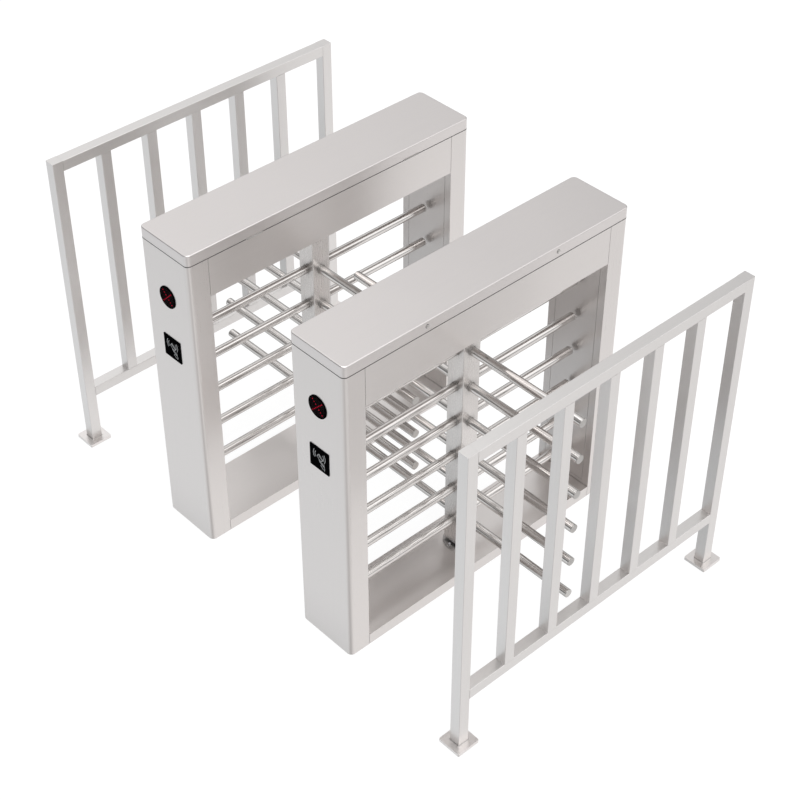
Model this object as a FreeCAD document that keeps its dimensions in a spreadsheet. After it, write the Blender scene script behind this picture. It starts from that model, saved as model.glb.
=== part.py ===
import FreeCAD, Part
import math
import os

# Two-lane half-height turnstile set: two cabinets, each with a four-wing rotor on a vertical post,
# between two guard railings. Millimetres, +Z up, X across the lanes, Y along the lanes with the
# front at -Y, origin on the floor midway between the two cabinets, rotor axes at y = 0.
#
# Cabinet pieces are built about their own rotor axis and then moved across to their cabinet.
# A formula is text or a number; a word in it is a parameter of the spreadsheet.
# Cutting tools run a little past the faces they open.

Vector = FreeCAD.Vector
Rotation = FreeCAD.Rotation
doc = FreeCAD.newDocument("Turnstile")

# ---------------------------------------------------------------- parameters
ROWS = [
    ("cab_width", 300, "cabinet width across the lane"),
    ("cab_length", 1500, "cabinet length along the lane"),
    ("cab_height", 1500, "floor to lid top"),
    ("lid_height", 50, "depth of the lid skirt"),
    ("lid_round", 5, "rounding of the lid's top edge"),
    ("seam_gap", 2, "shadow gap under the lid"),
    ("joint_gap", 1.5, "gap between end columns and beam or base"),
    ("beam_underside", 1268, "underside of the mechanism beam"),
    ("beam_floor", 3, "floor thickness of the mechanism beam"),
    ("base_height", 54, "height of the floor plinth"),
    ("base_sheet", 3, "sheet thickness of the floor plinth"),
    ("col_depth", 100, "depth of an end column along the lane"),
    ("col_floor", 6, "floor thickness of an end column"),
    ("skin", 2, "sheet thickness"),
    ("edge_radius", 22, "vertical corner radius of columns and lid"),
    ("rim_width", 14, "inward rim at the top of columns and beam"),
    ("door_width", 228, "width of the opening in a column's inner face"),
    ("door_bottom", 72, "bottom of that opening"),
    ("door_top", 1248, "top of that opening"),
    ("door_gap", 1.5, "gap round the door panel"),
    ("door_depth", 14, "depth of the door panel"),
    ("wire_radius", 30, "radius of the wiring holes"),
    ("wire_z", 1360, "height of the wiring holes between columns and beam"),
    ("lane_pitch", 905, "distance between the two rotor axes"),
    ("rail_offset", 757, "rotor axis to railing centre line"),
    ("rail_shift", 6, "how much nearer the front the railings stand than the cabinets"),
    ("rotor_reach", 632, "rotor axis to wing tip"),
    ("post_size", 90, "square rotor post"),
    ("post_wall", 4, "wall of the rotor post"),
    ("post_foot", 74, "bottom of the rotor post"),
    ("post_head", 1262, "top of the rotor post"),
    ("post_end", 8, "thickness of the rotor post's end plates"),
    ("bar_radius", 19, "wing tube outside radius"),
    ("bar_wall", 2, "wing tube wall"),
    ("bar_pitch", 182, "vertical pitch of the wing tubes"),
    ("bar_mid", 660, "mid height of the wings"),
    ("cap_flange", 4, "thickness of a tube end cap"),
    ("cap_spigot", 12, "length of the end cap spigot"),
    ("shaft_radius", 17.5, "rotor shaft radius"),
    ("run_gap", 0.05, "radial running clearance"),
    ("weld_gap", 0.02, "radial gap of a fixed fit"),
    ("housing_radius", 32, "bearing housing radius"),
    ("housing_gap", 0.2, "radial gap round a bearing housing"),
    ("gear_module", 3, "module of the mechanism gears"),
    ("gear_teeth", 48, "teeth of the rotor gear"),
    ("gear_under", 1330, "underside of the rotor gear"),
    ("gear_thick", 10, "thickness of the rotor gear"),
    ("damper_teeth", 16, "teeth of the damper pinion"),
    ("encoder_teeth", 24, "teeth of the encoder pinion"),
    ("gear_backlash", 0.15, "extra centre distance"),
    ("hub_radius", 28, "hub radius of the rotor gear and the locking disc"),
    ("deck_under", 1286, "underside of the mechanism plate"),
    ("deck_thick", 8, "mechanism plate thickness"),
    ("disc_radius", 90, "locking disc radius"),
    ("disc_under", 1352, "underside of the locking disc"),
    ("disc_thick", 12, "locking disc thickness"),
    ("pawl_pivot_x", 118, "pawl pivot from the rotor axis, across"),
    ("pawl_pivot_y", 70, "pawl pivot from the rotor axis, along"),
    ("pawl_swing", 10, "pawl swing in degrees"),
    ("pawl_pin", 6, "pawl pin radius"),
    ("pawl_play", 0.2, "vertical clearance below and above a pawl"),
    ("plunger_drop", 40, "pawl pivot to plunger axis, along"),
    ("plunger_radius", 6, "solenoid plunger radius"),
    ("plunger_z", 1340, "height of the solenoid axis"),
    ("hinge_out", 152.2, "lid hinge axis from the cabinet centre"),
    ("hinge_y", 420, "lid hinge position along the cabinet"),
    ("hinge_z", 1449, "height of the lid hinge axis"),
    ("hinge_pin", 1, "hinge pin radius"),
    ("hinge_play", 0.2, "clearance between the two halves of a hinge"),
    ("knuckle_radius", 2, "hinge knuckle radius"),
    ("knuckle_half", 12, "half length of the moving knuckle"),
    ("leaf_half", 40, "half length of the fixed hinge leaf"),
    ("leaf_edge", 128, "inboard edge of the hinge leaves from the cabinet centre"),
    ("lock_y", 345, "lid lock position along the cabinet"),
    ("lock_z", 1476, "height of the lid locks"),
    ("lock_radius", 7, "lid lock barrel radius"),
    ("cam_out", 122, "outer face of the lock cam from the cabinet centre"),
    ("bumper_x", 144.5, "lid bumper from the cabinet centre, across"),
    ("bumper_y", 700, "lid bumper from the cabinet centre, along"),
    ("lamp_z", 1232, "height of the direction indicator"),
    ("lamp_radius", 50, "radius of the direction indicator"),
    ("reader_z", 976, "height of the card reader"),
    ("reader_size", 108, "side of the card reader"),
    ("tube_size", 50, "square railing tube"),
    ("tube_wall", 2, "railing tube wall"),
    ("plate_size", 110, "railing base plate"),
    ("plate_thick", 14, "railing base plate thickness"),
    ("low_rail", 250, "underside of the lower rail"),
    ("baluster_pitch", 236, "pitch of the balusters"),
    ("baluster_mid", -18, "middle baluster along the railing"),
]
sheet = doc.addObject("Spreadsheet::Sheet", "Params")
dim = {}  # the same values, for sketch profiles
for row, (alias, value, note) in enumerate(ROWS, start=1):
    sheet.set(f"A{row}", alias)
    sheet.set(f"B{row}", str(value))
    sheet.set(f"C{row}", note)
    sheet.setAlias(f"B{row}", alias)
    dim[alias] = value
doc.recompute()

# Formulas shared by several pieces
HALF_WIDTH = "(cab_width/2)"
HALF_LENGTH = "(cab_length/2)"
WALL_TOP = "(cab_height-lid_height-seam_gap)"
LID_UNDER = "(cab_height-lid_height)"
BEAM_END = "(cab_length/2-col_depth-joint_gap)"
COL_INNER = "(cab_length/2-col_depth)"
COL_MID = "(col_depth/2-cab_length/2)"
BEAM_BED = "(beam_underside+beam_floor)"
DECK_TOP = "(deck_under+deck_thick)"

# Cabinet name, sign of its outer side (towards its railing), x of its rotor axis
CABINETS = (("left", -1, "-lane_pitch/2"), ("right", 1, "lane_pitch/2"))

# Rotations that point +Z along the named axis
TURN = {
    "z": Rotation(),
    "x": Rotation(Vector(0, 1, 0), 90),
    "-x": Rotation(Vector(0, 1, 0), -90),
    "y": Rotation(Vector(1, 0, 0), -90),
    "-y": Rotation(Vector(1, 0, 0), 90),
}
HALF_TURN = Rotation(Vector(0, 0, 1), 180)
BOTH_ENDS = (None, HALF_TURN)


# ---------------------------------------------------------------- formulas
def qualify(formula):
    """Puts the sheet name before every parameter word of a formula."""
    out = ""
    for char in str(formula):
        if char.isalpha() and not (out[-1:].isalnum() or out[-1:] == "_"):
            out += "Params."
        out += char
    return out


def bind(obj, prop, formula):
    obj.setExpression(prop, qualify(formula))


def bind_base(obj, at):
    for axis, formula in zip("xyz", at):
        bind(obj, "Placement.Base." + axis, formula)


def signed(formula, sign):
    return formula if sign > 0 else f"-({formula})"


def mirrored(low, high, sign):
    """A (low, high) span, mirrored about zero for a negative sign."""
    return (low, high) if sign > 0 else (signed(high, -1), signed(low, -1))


def span(half, middle=0):
    return f"{middle}-({half})", f"{middle}+({half})"


# ---------------------------------------------------------------- solids
def box(x, y, z):
    """Box from three (low, high) formula pairs."""
    block = doc.addObject("Part::Box", "box")
    for prop, (low, high) in (("Length", x), ("Width", y), ("Height", z)):
        bind(block, prop, f"({high})-({low})")
    bind_base(block, (x[0], y[0], z[0]))
    return block


def cylinder(radius, length, at, axis="z"):
    rod = doc.addObject("Part::Cylinder", "cylinder")
    rod.Placement = FreeCAD.Placement(Vector(0, 0, 0), TURN[axis])
    bind(rod, "Radius", radius)
    bind(rod, "Height", length)
    bind_base(rod, at)
    return rod


def crosswise(radius, length, at, sign):
    """Cylinder from a point on the signed side, away from the cabinet centre."""
    x, y, z = at
    return cylinder(radius, length, (signed(x, sign), y, z), "x" if sign > 0 else "-x")


def fuse(shapes):
    union = doc.addObject("Part::MultiFuse", "fuse")
    union.Shapes = shapes
    union.Refine = True
    return union


def cut(base, tools):
    difference = doc.addObject("Part::Cut", "cut")
    difference.Base = base
    difference.Tool = tools[0] if len(tools) == 1 else fuse(tools)
    difference.Refine = True
    return difference


def group(shapes):
    compound = doc.addObject("Part::Compound", "group")
    compound.Links = shapes
    return compound


# ---------------------------------------------------------------- profiles: lists of sketch geometry
def polar(radius, degrees):
    angle = math.radians(degrees)
    return radius * math.cos(angle), radius * math.sin(angle)


def turned(points, degrees):
    c, s = polar(1, degrees)
    return [(x * c - y * s, x * s + y * c) for x, y in points]


def segment(start, end):
    return Part.LineSegment(Vector(*start, 0), Vector(*end, 0))


def polygon(points):
    return [segment(start, end) for start, end in zip(points, points[1:] + points[:1])]


def circle(x, y, radius):
    return [Part.Circle(Vector(x, y, 0), Vector(0, 0, 1), radius)]


def hole_ring(count, ring_radius, hole_radius, first=0):
    holes = []
    for k in range(count):
        holes += circle(*polar(ring_radius, first + 360 / count * k), hole_radius)
    return holes


def rounded(x0, y0, x1, y1, radii):
    """Rectangle with a radius per corner, from (x0, y0) anticlockwise."""
    # corner, direction from it into the rectangle, start angle of its arc
    corners = [
        (x0, y0, 1, 1, 180),
        (x1, y0, -1, 1, 270),
        (x1, y1, -1, -1, 0),
        (x0, y1, 1, -1, 90),
    ]
    arcs, ends = [], []
    for (x, y, inward_x, inward_y, start), radius in zip(corners, radii):
        if not radius:
            ends.append(((x, y), (x, y)))
            continue
        mid_x, mid_y = x + inward_x * radius, y + inward_y * radius
        offsets = polar(radius, start), polar(radius, start + 90)
        ends.append([(mid_x + dx, mid_y + dy) for dx, dy in offsets])
        full = circle(mid_x, mid_y, radius)[0]
        arcs.append(Part.ArcOfCircle(full, math.radians(start), math.radians(start + 90)))
    return arcs + [segment(ends[i][1], ends[(i + 1) % 4][0]) for i in range(4)]


def rounded_centred(half_x, half_y, radius):
    return rounded(-half_x, -half_y, half_x, half_y, (radius,) * 4)


def pad(profile, length, at=(), axis=None):
    """PartDesign body: a closed profile on the body's XY plane, padded up."""
    body = doc.addObject("PartDesign::Body", "body")
    plane = [f for f in body.Origin.OriginFeatures if f.Role == "XY_Plane"][0]
    sketch = body.newObject("Sketcher::SketchObject", "profile")
    sketch.AttachmentSupport = [(plane, "")]
    sketch.MapMode = "FlatFace"
    sketch.addGeometry(profile, False)
    block = body.newObject("PartDesign::Pad", "pad")
    block.Profile = sketch
    bind(block, "Length", length)
    body.Tip = block
    if axis:
        body.Placement = FreeCAD.Placement(Vector(0, 0, 0), TURN[axis])
    bind_base(body, at)
    return body


# ---------------------------------------------------------------- placing and naming
NODES = []


def place(obj, x, turn=None):
    if turn is not None:
        obj.Placement = FreeCAD.Placement(Vector(0, 0, 0), turn)
    bind(obj, "Placement.Base.x", x)
    return obj


def node(label, obj):
    """Names a piece for export."""
    obj.Label = label
    NODES.append(obj)


def in_cabinets(make, *args, turns=(None,)):
    """One piece per turn in each cabinet, as a group."""
    return group([place(make(*args), x, turn) for _, _, x in CABINETS for turn in turns])


# ---------------------------------------------------------------- end columns
def column():
    """Front end column; the rear one is the same turned round."""
    side, front = dim["cab_width"] / 2, -dim["cab_length"] / 2
    back = front + dim["col_depth"]
    radius, skin, rim = dim["edge_radius"], dim["skin"], dim["rim_width"]
    outer = pad(rounded(-side, front, side, back, (radius, radius, 0, 0)), WALL_TOP)
    inner_radius = radius - skin
    cavity = pad(
        rounded(
            -side + skin, front + skin, side - skin, back - skin, (inner_radius, inner_radius, 0, 0)
        ),
        f"{WALL_TOP}-col_floor-skin",
        (0, 0, "col_floor"),
    )
    mouth = pad(
        rounded(-side + rim, front + rim, side - rim, back - rim, (8,) * 4),
        6,
        (0, 0, f"{WALL_TOP}-4"),
    )
    door = box(
        span("door_width/2"), (f"-{COL_INNER}-3", f"-{COL_INNER}+1"), ("door_bottom", "door_top")
    )
    lamp_hole = cylinder("lamp_radius-2", 6, (0, f"-{HALF_LENGTH}-2", "lamp_z"), "y")
    reader_hole = box(
        span("reader_size/2-2"),
        (f"-{HALF_LENGTH}-2", f"-{HALF_LENGTH}+4"),
        span("reader_size/2-2", "reader_z"),
    )
    wires = cylinder("wire_radius", 8, (0, f"-{COL_INNER}-5", "wire_z"), "y")
    floor_bolts = [
        cylinder(7, 8, (x, f"{COL_MID}+({y})", -1)) for x in (-110, 110) for y in (-25, 25)
    ]
    entry = cylinder("wire_radius", 8, (0, COL_MID, -1))
    return cut(outer, [cavity, mouth, door, lamp_hole, reader_hole, wires, entry] + floor_bolts)


def door_panel():
    """Tray that closes the opening in the column's inner face, hollow towards the column."""
    half = "door_width/2-door_gap"
    low, high = "door_bottom+door_gap", "door_top-door_gap"
    tray = box(span(half), (f"-{COL_INNER}-door_depth", f"-{COL_INNER}"), (low, high))
    hollow = box(
        span(f"{half}-skin"),
        (f"-{COL_INNER}-door_depth-1", f"-{COL_INNER}-skin"),
        (f"{low}+skin", f"{high}-skin"),
    )
    return cut(tray, [hollow])


for name, outer_sign, cabinet_x in CABINETS:
    node(name + "_front_column", place(column(), cabinet_x))
    node(name + "_rear_column", place(column(), cabinet_x, HALF_TURN))
node("column_door_panels", in_cabinets(door_panel, turns=BOTH_ENDS))


# ---------------------------------------------------------------- mechanism beam and base plinth
def beam(outer_sign):
    """Open-topped box with two keepers for the lid lock cams on its outer side."""
    shell = box(span(HALF_WIDTH), span(BEAM_END), ("beam_underside", WALL_TOP))
    keepers = []
    for end in (-1, 1):
        upright = box(
            mirrored(116, 140, outer_sign),
            mirrored("lock_y+22", "lock_y+25", end),
            (f"{WALL_TOP}-2", "lock_z+9"),
        )
        tongue = box(
            mirrored(116, 132, outer_sign),
            mirrored("lock_y+8", "lock_y+25", end),
            ("lock_z+6.6", "lock_z+9"),
        )
        keepers += [upright, tongue]
    cavity = box(
        span(f"{HALF_WIDTH}-skin"), span(f"{BEAM_END}-skin"), (BEAM_BED, f"{WALL_TOP}-skin")
    )
    mouth = box(
        span(f"{HALF_WIDTH}-rim_width"),
        span(f"{BEAM_END}-rim_width"),
        (f"{WALL_TOP}-4", f"{WALL_TOP}+1"),
    )
    shaft_hole = cylinder(28, 8, (0, 0, "beam_underside-2"))
    wires = cylinder("wire_radius", "cab_length-2*col_depth", (0, f"-{COL_INNER}", "wire_z"), "y")
    return fuse([cut(shell, [cavity, mouth, shaft_hole, wires])] + keepers)


def base():
    """Plinth open to the floor, with a square doubler plate round the bottom bearing."""
    shell = cut(
        box(span(HALF_WIDTH), span(BEAM_END), (0, "base_height")),
        [
            box(
                span(f"{HALF_WIDTH}-base_sheet"),
                span(f"{BEAM_END}-base_sheet"),
                (-1, "base_height-base_sheet"),
            )
        ],
    )
    doubler = box(span(110), span(110), ("base_height-13", "base_height-2"))
    bearing_hole = cylinder("housing_radius+housing_gap", 30, (0, 0, "base_height-20"))
    return cut(fuse([shell, doubler]), [bearing_hole])


for name, outer_sign, cabinet_x in CABINETS:
    node(name + "_beam", place(beam(outer_sign), cabinet_x))
    node(name + "_base", place(base(), cabinet_x))


# ---------------------------------------------------------------- lids, locks and hinges
def lid(outer_sign):
    half_width, half_length = dim["cab_width"] / 2, dim["cab_length"] / 2
    radius, skin, height = dim["edge_radius"], dim["skin"], dim["lid_height"]
    body = pad(rounded_centred(half_width, half_length, radius), "lid_height")
    doc.recompute()  # the top edges are picked from the finished pad
    block = body.Tip
    top_edges = [
        f"Edge{i}"
        for i, edge in enumerate(block.Shape.Edges, start=1)
        if abs(edge.BoundBox.ZMin - height) < 1e-6 and abs(edge.BoundBox.ZMax - height) < 1e-6
    ]
    fillet = body.newObject("PartDesign::Fillet", "lid_fillet")
    fillet.Base = (block, top_edges)
    bind(fillet, "Radius", "lid_round")
    body.Tip = fillet
    doc.recompute()
    bind(body, "Placement.Base.z", LID_UNDER)
    cavity = pad(
        rounded_centred(half_width - skin, half_length - skin, radius - skin),
        "lid_height-skin+1",
        (0, 0, f"{LID_UNDER}-1"),
    )
    lock_holes = [
        crosswise("lock_radius+run_gap", 6, (f"{HALF_WIDTH}-4", y, "lock_z"), outer_sign)
        for y in ("-lock_y", "lock_y")
    ]
    return cut(body, [cavity] + lock_holes)


def lid_lock(outer_sign, y):
    barrel = crosswise("lock_radius", 29, ("cam_out", y, "lock_z"), outer_sign)
    cam = box(
        mirrored("cam_out-4", "cam_out", outer_sign), span(6, y), ("lock_z-20", "lock_z+6")
    )
    return fuse([barrel, cam])


def moving_leaf(hinge_sign, y):
    """The lid's half of a slim hinge, on the signed side of the cabinet."""
    axis_x = signed("hinge_out", hinge_sign)
    z_span = ("hinge_z+hinge_play", LID_UNDER)
    neck = box(
        mirrored(f"{HALF_WIDTH}-0.1", "hinge_out", hinge_sign), span("knuckle_half", y), z_span
    )
    leaf = box(mirrored("leaf_edge", HALF_WIDTH, hinge_sign), span("leaf_half-2", y), z_span)
    knuckle = cylinder(
        "knuckle_radius", "2*knuckle_half", (axis_x, f"{y}-knuckle_half", "hinge_z"), "y"
    )
    bore = cylinder(
        "hinge_pin+run_gap",
        "2*knuckle_half+2",
        (axis_x, f"{y}-knuckle_half-1", "hinge_z"),
        "y",
    )
    return cut(fuse([neck, leaf, knuckle]), [bore])


def fixed_leaf(hinge_sign, y):
    """The beam's half of the hinge, with two end knuckles and the pin."""
    axis_x = signed("hinge_out", hinge_sign)
    notch_half = "knuckle_half+hinge_play"
    plate = cut(
        box(
            mirrored("leaf_edge", "hinge_out", hinge_sign),
            span("leaf_half", y),
            (WALL_TOP, "hinge_z-hinge_play"),
        ),
        [
            box(
                mirrored(f"{HALF_WIDTH}-0.1", "hinge_out+3", hinge_sign),
                span(notch_half, y),
                span(3, "hinge_z"),
            )
        ],
    )
    end_length = f"leaf_half-({notch_half})"
    rods = [
        cylinder(radius, length, (axis_x, start, "hinge_z"), "y")
        for radius, length, start in (
            ("knuckle_radius", end_length, f"{y}-leaf_half"),
            ("knuckle_radius", end_length, f"{y}+{notch_half}"),
            ("hinge_pin", "2*leaf_half", f"{y}-leaf_half"),
        )
    ]
    return fuse([plate] + rods)


fixed_leaves = []
for name, outer_sign, cabinet_x in CABINETS:
    node(name + "_lid", place(lid(outer_sign), cabinet_x))
    node(name + "_front_lid_lock", place(lid_lock(outer_sign, "-lock_y"), cabinet_x))
    node(name + "_rear_lid_lock", place(lid_lock(outer_sign, "lock_y"), cabinet_x))
    # the hinges are on the side facing the other cabinet
    moving = group([moving_leaf(-outer_sign, y) for y in ("-hinge_y", "hinge_y")])
    node(name + "_lid_hinge_leaves", place(moving, cabinet_x))
    for y in ("-hinge_y", "hinge_y"):
        fixed_leaves.append(place(fixed_leaf(-outer_sign, y), cabinet_x))
node("fixed_hinge_leaves", group(fixed_leaves))

node(
    "lid_bumpers",
    group(
        [
            cylinder(5, "seam_gap", (cabinet_x + x, y, WALL_TOP))
            for _, _, cabinet_x in CABINETS
            for x in ("-bumper_x", "+bumper_x")
            for y in ("-bumper_y", "bumper_y")
        ]
    ),
)

# ---------------------------------------------------------------- rotor post, wings and shaft
# Axis of each wing and its unit direction
WINGS = (("x", 1, 0), ("-x", -1, 0), ("y", 0, 1), ("-y", 0, -1))
# Heights of the wing tubes, in pitches from the mid height
LEVELS = {"left": (-2, -1, 0, 1, 2), "right": (-2.5, -1.5, -0.5, 0.5, 1.5, 2.5)}


def rotor_post():
    half, wall = dim["post_size"] / 2, dim["post_wall"]
    length = "post_head-post_foot"
    tube = pad(rounded_centred(half, half, 3), length, (0, 0, "post_foot"))
    hollow = pad(
        rounded_centred(half - wall, half - wall, 2),
        f"{length}-2*post_end",
        (0, 0, "post_foot+post_end"),
    )
    bores = [
        cylinder("shaft_radius+weld_gap", "post_end+2", (0, 0, z))
        for z in ("post_foot-1", "post_head-post_end-1")
    ]
    return cut(tube, [hollow] + bores)


def wing_rods(levels, radius, length, start):
    """A cylinder in every wing at every level, from a distance off the rotor axis."""
    return [
        cylinder(
            radius,
            length,
            (f"{dx}*({start})", f"{dy}*({start})", f"bar_mid+bar_pitch*({level})"),
            axis,
        )
        for level in levels
        for axis, dx, dy in WINGS
    ]


def rotor_bars(levels):
    tubes = wing_rods(
        levels, "bar_radius", "rotor_reach-cap_flange-post_size/2", "post_size/2"
    )
    bores = wing_rods(levels, "bar_radius-bar_wall", "rotor_reach", "post_size/2-1")
    return cut(group(tubes), [group(bores)])


def bar_caps(levels):
    flanges = wing_rods(levels, "bar_radius", "cap_flange", "rotor_reach-cap_flange")
    spigots = wing_rods(
        levels,
        "bar_radius-bar_wall-weld_gap",
        "cap_spigot",
        "rotor_reach-cap_flange-cap_spigot",
    )
    return group([fuse([flange, spigot]) for flange, spigot in zip(flanges, spigots)])


def rotor_shaft():
    """Two stub shafts, each with a flange inside the post; the lower has a collar below it."""
    top = fuse(
        [
            cylinder("shaft_radius", 180, (0, 0, 1200)),
            cylinder(30, 14, (0, 0, "post_head-post_end-14")),
        ]
    )
    bottom = fuse(
        [
            cylinder("shaft_radius", 110, (0, 0, 30)),
            cylinder(30, 10, (0, 0, "post_foot+post_end")),
            cylinder(23, 3.9, (0, 0, "post_foot-3.9")),
        ]
    )
    return group([top, bottom])


for name, outer_sign, cabinet_x in CABINETS:
    node(name + "_rotor_post", place(rotor_post(), cabinet_x))
    node(name + "_rotor_bars", place(rotor_bars(LEVELS[name]), cabinet_x))
    node(name + "_bar_end_caps", place(bar_caps(LEVELS[name]), cabinet_x))
    node(name + "_rotor_shaft", place(rotor_shaft(), cabinet_x))

# ---------------------------------------------------------------- gears and locking disc
PRESSURE_ANGLE = 20
ADDENDUM = 0.88  # in modules
DEDENDUM = 1.2  # in modules
TOOTH_THINNING = 0.10  # taken off each flank at the pitch circle
FLANK_STEPS = 4
SHAFT_BORE = dim["shaft_radius"] + dim["weld_gap"]
NOTCH_MOUTH = 13  # half width of a disc notch at the rim
NOTCH_FLOOR = 77  # disc axis to notch floor
NOTCH_HALF = 8  # half width of a notch at its floor
RIM_STEPS = 18  # straight steps of the disc rim between notches


def involute(base_radius, radius):
    tangent = math.sqrt((radius / base_radius) ** 2 - 1)
    return tangent - math.atan(tangent)


def gear_outline(teeth, phase):
    """Involute spur gear, short addendum, first tooth centred on phase degrees."""
    module = dim["gear_module"]
    pitch_radius = module * teeth / 2
    base_radius = pitch_radius * math.cos(math.radians(PRESSURE_ANGLE))
    tip_radius = pitch_radius + ADDENDUM * module
    root_radius = pitch_radius - DEDENDUM * module
    start = max(base_radius, root_radius)
    # half the tooth's angle where its flanks meet the base circle
    base_angle = math.pi / 2 / teeth - TOOTH_THINNING / pitch_radius
    base_angle += involute(base_radius, pitch_radius)
    flank = []
    for step in range(FLANK_STEPS + 1):
        radius = start + (tip_radius - start) * step / FLANK_STEPS
        flank.append((radius, base_angle - involute(base_radius, radius)))
    if root_radius < start:
        flank.insert(0, (root_radius, flank[0][1]))
    tooth = [(radius, -angle) for radius, angle in flank] + flank[::-1]
    points = []
    for n in range(teeth):
        centre = math.radians(phase) + 2 * math.pi * n / teeth
        points += [(r * math.cos(centre + a), r * math.sin(centre + a)) for r, a in tooth]
    return points


def hubbed_wheel(outline, holes, thickness, under, hub_under):
    """Flat wheel bored for the shaft, with a hub below it."""
    bore = circle(0, 0, SHAFT_BORE)
    rim = pad(polygon(outline) + bore + holes, thickness, (0, 0, under))
    hub = pad(
        circle(0, 0, dim["hub_radius"]) + circle(0, 0, SHAFT_BORE),
        f"{under}-({hub_under})",
        (0, 0, hub_under),
    )
    return fuse([rim, hub])


def drive_gear():
    outline = gear_outline(dim["gear_teeth"], 0)
    return hubbed_wheel(outline, hole_ring(6, 47, 9), "gear_thick", "gear_under", "gear_under-8")


def lock_disc():
    """Disc with four tapered notches; its hub reaches down to the gear."""
    radius = dim["disc_radius"]
    mouth = math.degrees(math.asin(NOTCH_MOUTH / radius))
    outline = []
    for k in range(4):
        for step in range(RIM_STEPS + 1):
            outline.append(polar(radius, 90 * k + mouth + (90 - 2 * mouth) * step / RIM_STEPS))
        notch = [(NOTCH_FLOOR, -NOTCH_HALF), (NOTCH_FLOOR, NOTCH_HALF)]
        outline += turned(notch, 90 * (k + 1))
    holes = hole_ring(4, 54, 13, first=45)
    return hubbed_wheel(outline, holes, "disc_thick", "disc_under", "gear_under+gear_thick")


def pinion(teeth, direction, spindle_radius):
    """Pinion with a tooth space facing the rotor axis, which lies back along the direction."""
    phase = (direction + 180 + 180 / teeth) % (360 / teeth)
    wheel = pad(polygon(gear_outline(teeth, phase)), "gear_thick+4", (0, 0, "gear_under-2"))
    return fuse([wheel, cylinder(spindle_radius, 26, (0, 0, "gear_under-28"))])


def pinion_unit(x, y, body_radius, neck_radius, spindle_radius):
    """Round damper or encoder body with a spindle bore, standing on the mechanism plate."""
    return cut(
        fuse([cylinder(body_radius, 26, (x, y, DECK_TOP)), cylinder(neck_radius, 32, (x, y, DECK_TOP))]),
        [cylinder(f"{spindle_radius}+run_gap", 40, (x, y, 1300))],
    )


for name, outer_sign, cabinet_x in CABINETS:
    node(name + "_drive_gear", place(drive_gear(), cabinet_x))
    node(name + "_lock_disc", place(lock_disc(), cabinet_x))

# Pinion, its unit, teeth, direction from the rotor axis in degrees,
# and the radii of spindle, body and neck
PINIONS = (
    ("_damper_pinion", "rotary_dampers", dim["damper_teeth"], 37.5, 5, 28, 12),
    ("_encoder_pinion", "rotor_encoders", dim["encoder_teeth"], 142.5, 4, 24, 10),
)
for label, unit_label, teeth, direction, spindle, body_radius, neck_radius in PINIONS:
    centre_distance = dim["gear_module"] * (dim["gear_teeth"] + teeth) / 2 + dim["gear_backlash"]
    x, y = [f"{value:.6f}" for value in polar(centre_distance, direction)]
    for name, outer_sign, cabinet_x in CABINETS:
        wheel = pinion(teeth, direction, spindle)
        bind(wheel, "Placement.Base.y", y)
        node(name + label, place(wheel, f"{cabinet_x}+({x})"))
    node(unit_label, in_cabinets(pinion_unit, x, y, body_radius, neck_radius, spindle))


# ---------------------------------------------------------------- bearings and mechanism plate
def bearing(flange_radius, flange_thick, flange_z, housing_z):
    flange = cylinder(flange_radius, flange_thick, (0, 0, flange_z))
    housing = cylinder("housing_radius", 40, (0, 0, housing_z))
    bore = cylinder("shaft_radius+run_gap", 60, (0, 0, f"{housing_z}-10"))
    return cut(fuse([flange, housing]), [bore])


def deck():
    """Plate on four legs, with the top bearing's hole."""
    bearing_hole = circle(0, 0, dim["housing_radius"] + dim["housing_gap"])
    plate = pad(
        rounded(-135, -150, 135, 122, (8,) * 4) + bearing_hole, "deck_thick", (0, 0, "deck_under")
    )
    legs = [
        cylinder(10, f"deck_under-{BEAM_BED}+1", (x, y, BEAM_BED))
        for x in (-118, 118)
        for y in (-136, 106)
    ]
    return fuse([plate] + legs)


node("bottom_bearings", in_cabinets(bearing, 68, 8, "base_height", "base_height-24"))
node("top_bearings", in_cabinets(bearing, 55, 10, DECK_TOP, "deck_under-6"))
node("mechanism_plates", in_cabinets(deck))

# ---------------------------------------------------------------- pawls and solenoids
# Each cabinet has an entry set on its +X side and an exit set on its -X side.
PLUNGER_Y = "-(pawl_pivot_y+plunger_drop)"
# Pawl outline (x, y) from its pivot, tooth home in the disc notch, for the +X side
PAWL_ARM = [
    (-12, 0), (-22, 62.5), (-36, 65), (-36, 75),
    (-22, 77.5), (-8, 80), (-3, 72), (12, 0),
]


def solenoid(sign):
    coil = box(mirrored(30, 98, sign), span(20, PLUNGER_Y), span(20, "plunger_z"))
    foot = box(mirrored(35, 93, sign), span(16, PLUNGER_Y), (DECK_TOP, "plunger_z-19"))
    bore = crosswise("plunger_radius+run_gap", 60, (40, PLUNGER_Y, "plunger_z"), sign)
    return cut(fuse([coil, foot]), [bore])


def plunger(sign):
    """Rod and square head, with an upright pin for the slot in the pawl's tail."""
    rod = crosswise("plunger_radius", 66, (42, PLUNGER_Y, "plunger_z"), sign)
    head = box(mirrored(106, 128, sign), span(8, PLUNGER_Y), span(7, "plunger_z"))
    pin = cylinder(3, 16, (signed("pawl_pivot_x", sign), PLUNGER_Y, "plunger_z+6"))
    return fuse([rod, head, pin])


def pawl_pin(sign):
    """Shouldered pin with a head above the pawl."""
    x, y = signed("pawl_pivot_x", sign), "-pawl_pivot_y"
    return fuse(
        [
            cylinder(11, f"disc_under-pawl_play-{DECK_TOP}", (x, y, DECK_TOP)),
            cylinder("pawl_pin", 20, (x, y, "disc_under-2")),
            cylinder(9, 4, (x, y, "disc_under+disc_thick+pawl_play")),
        ]
    )


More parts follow.
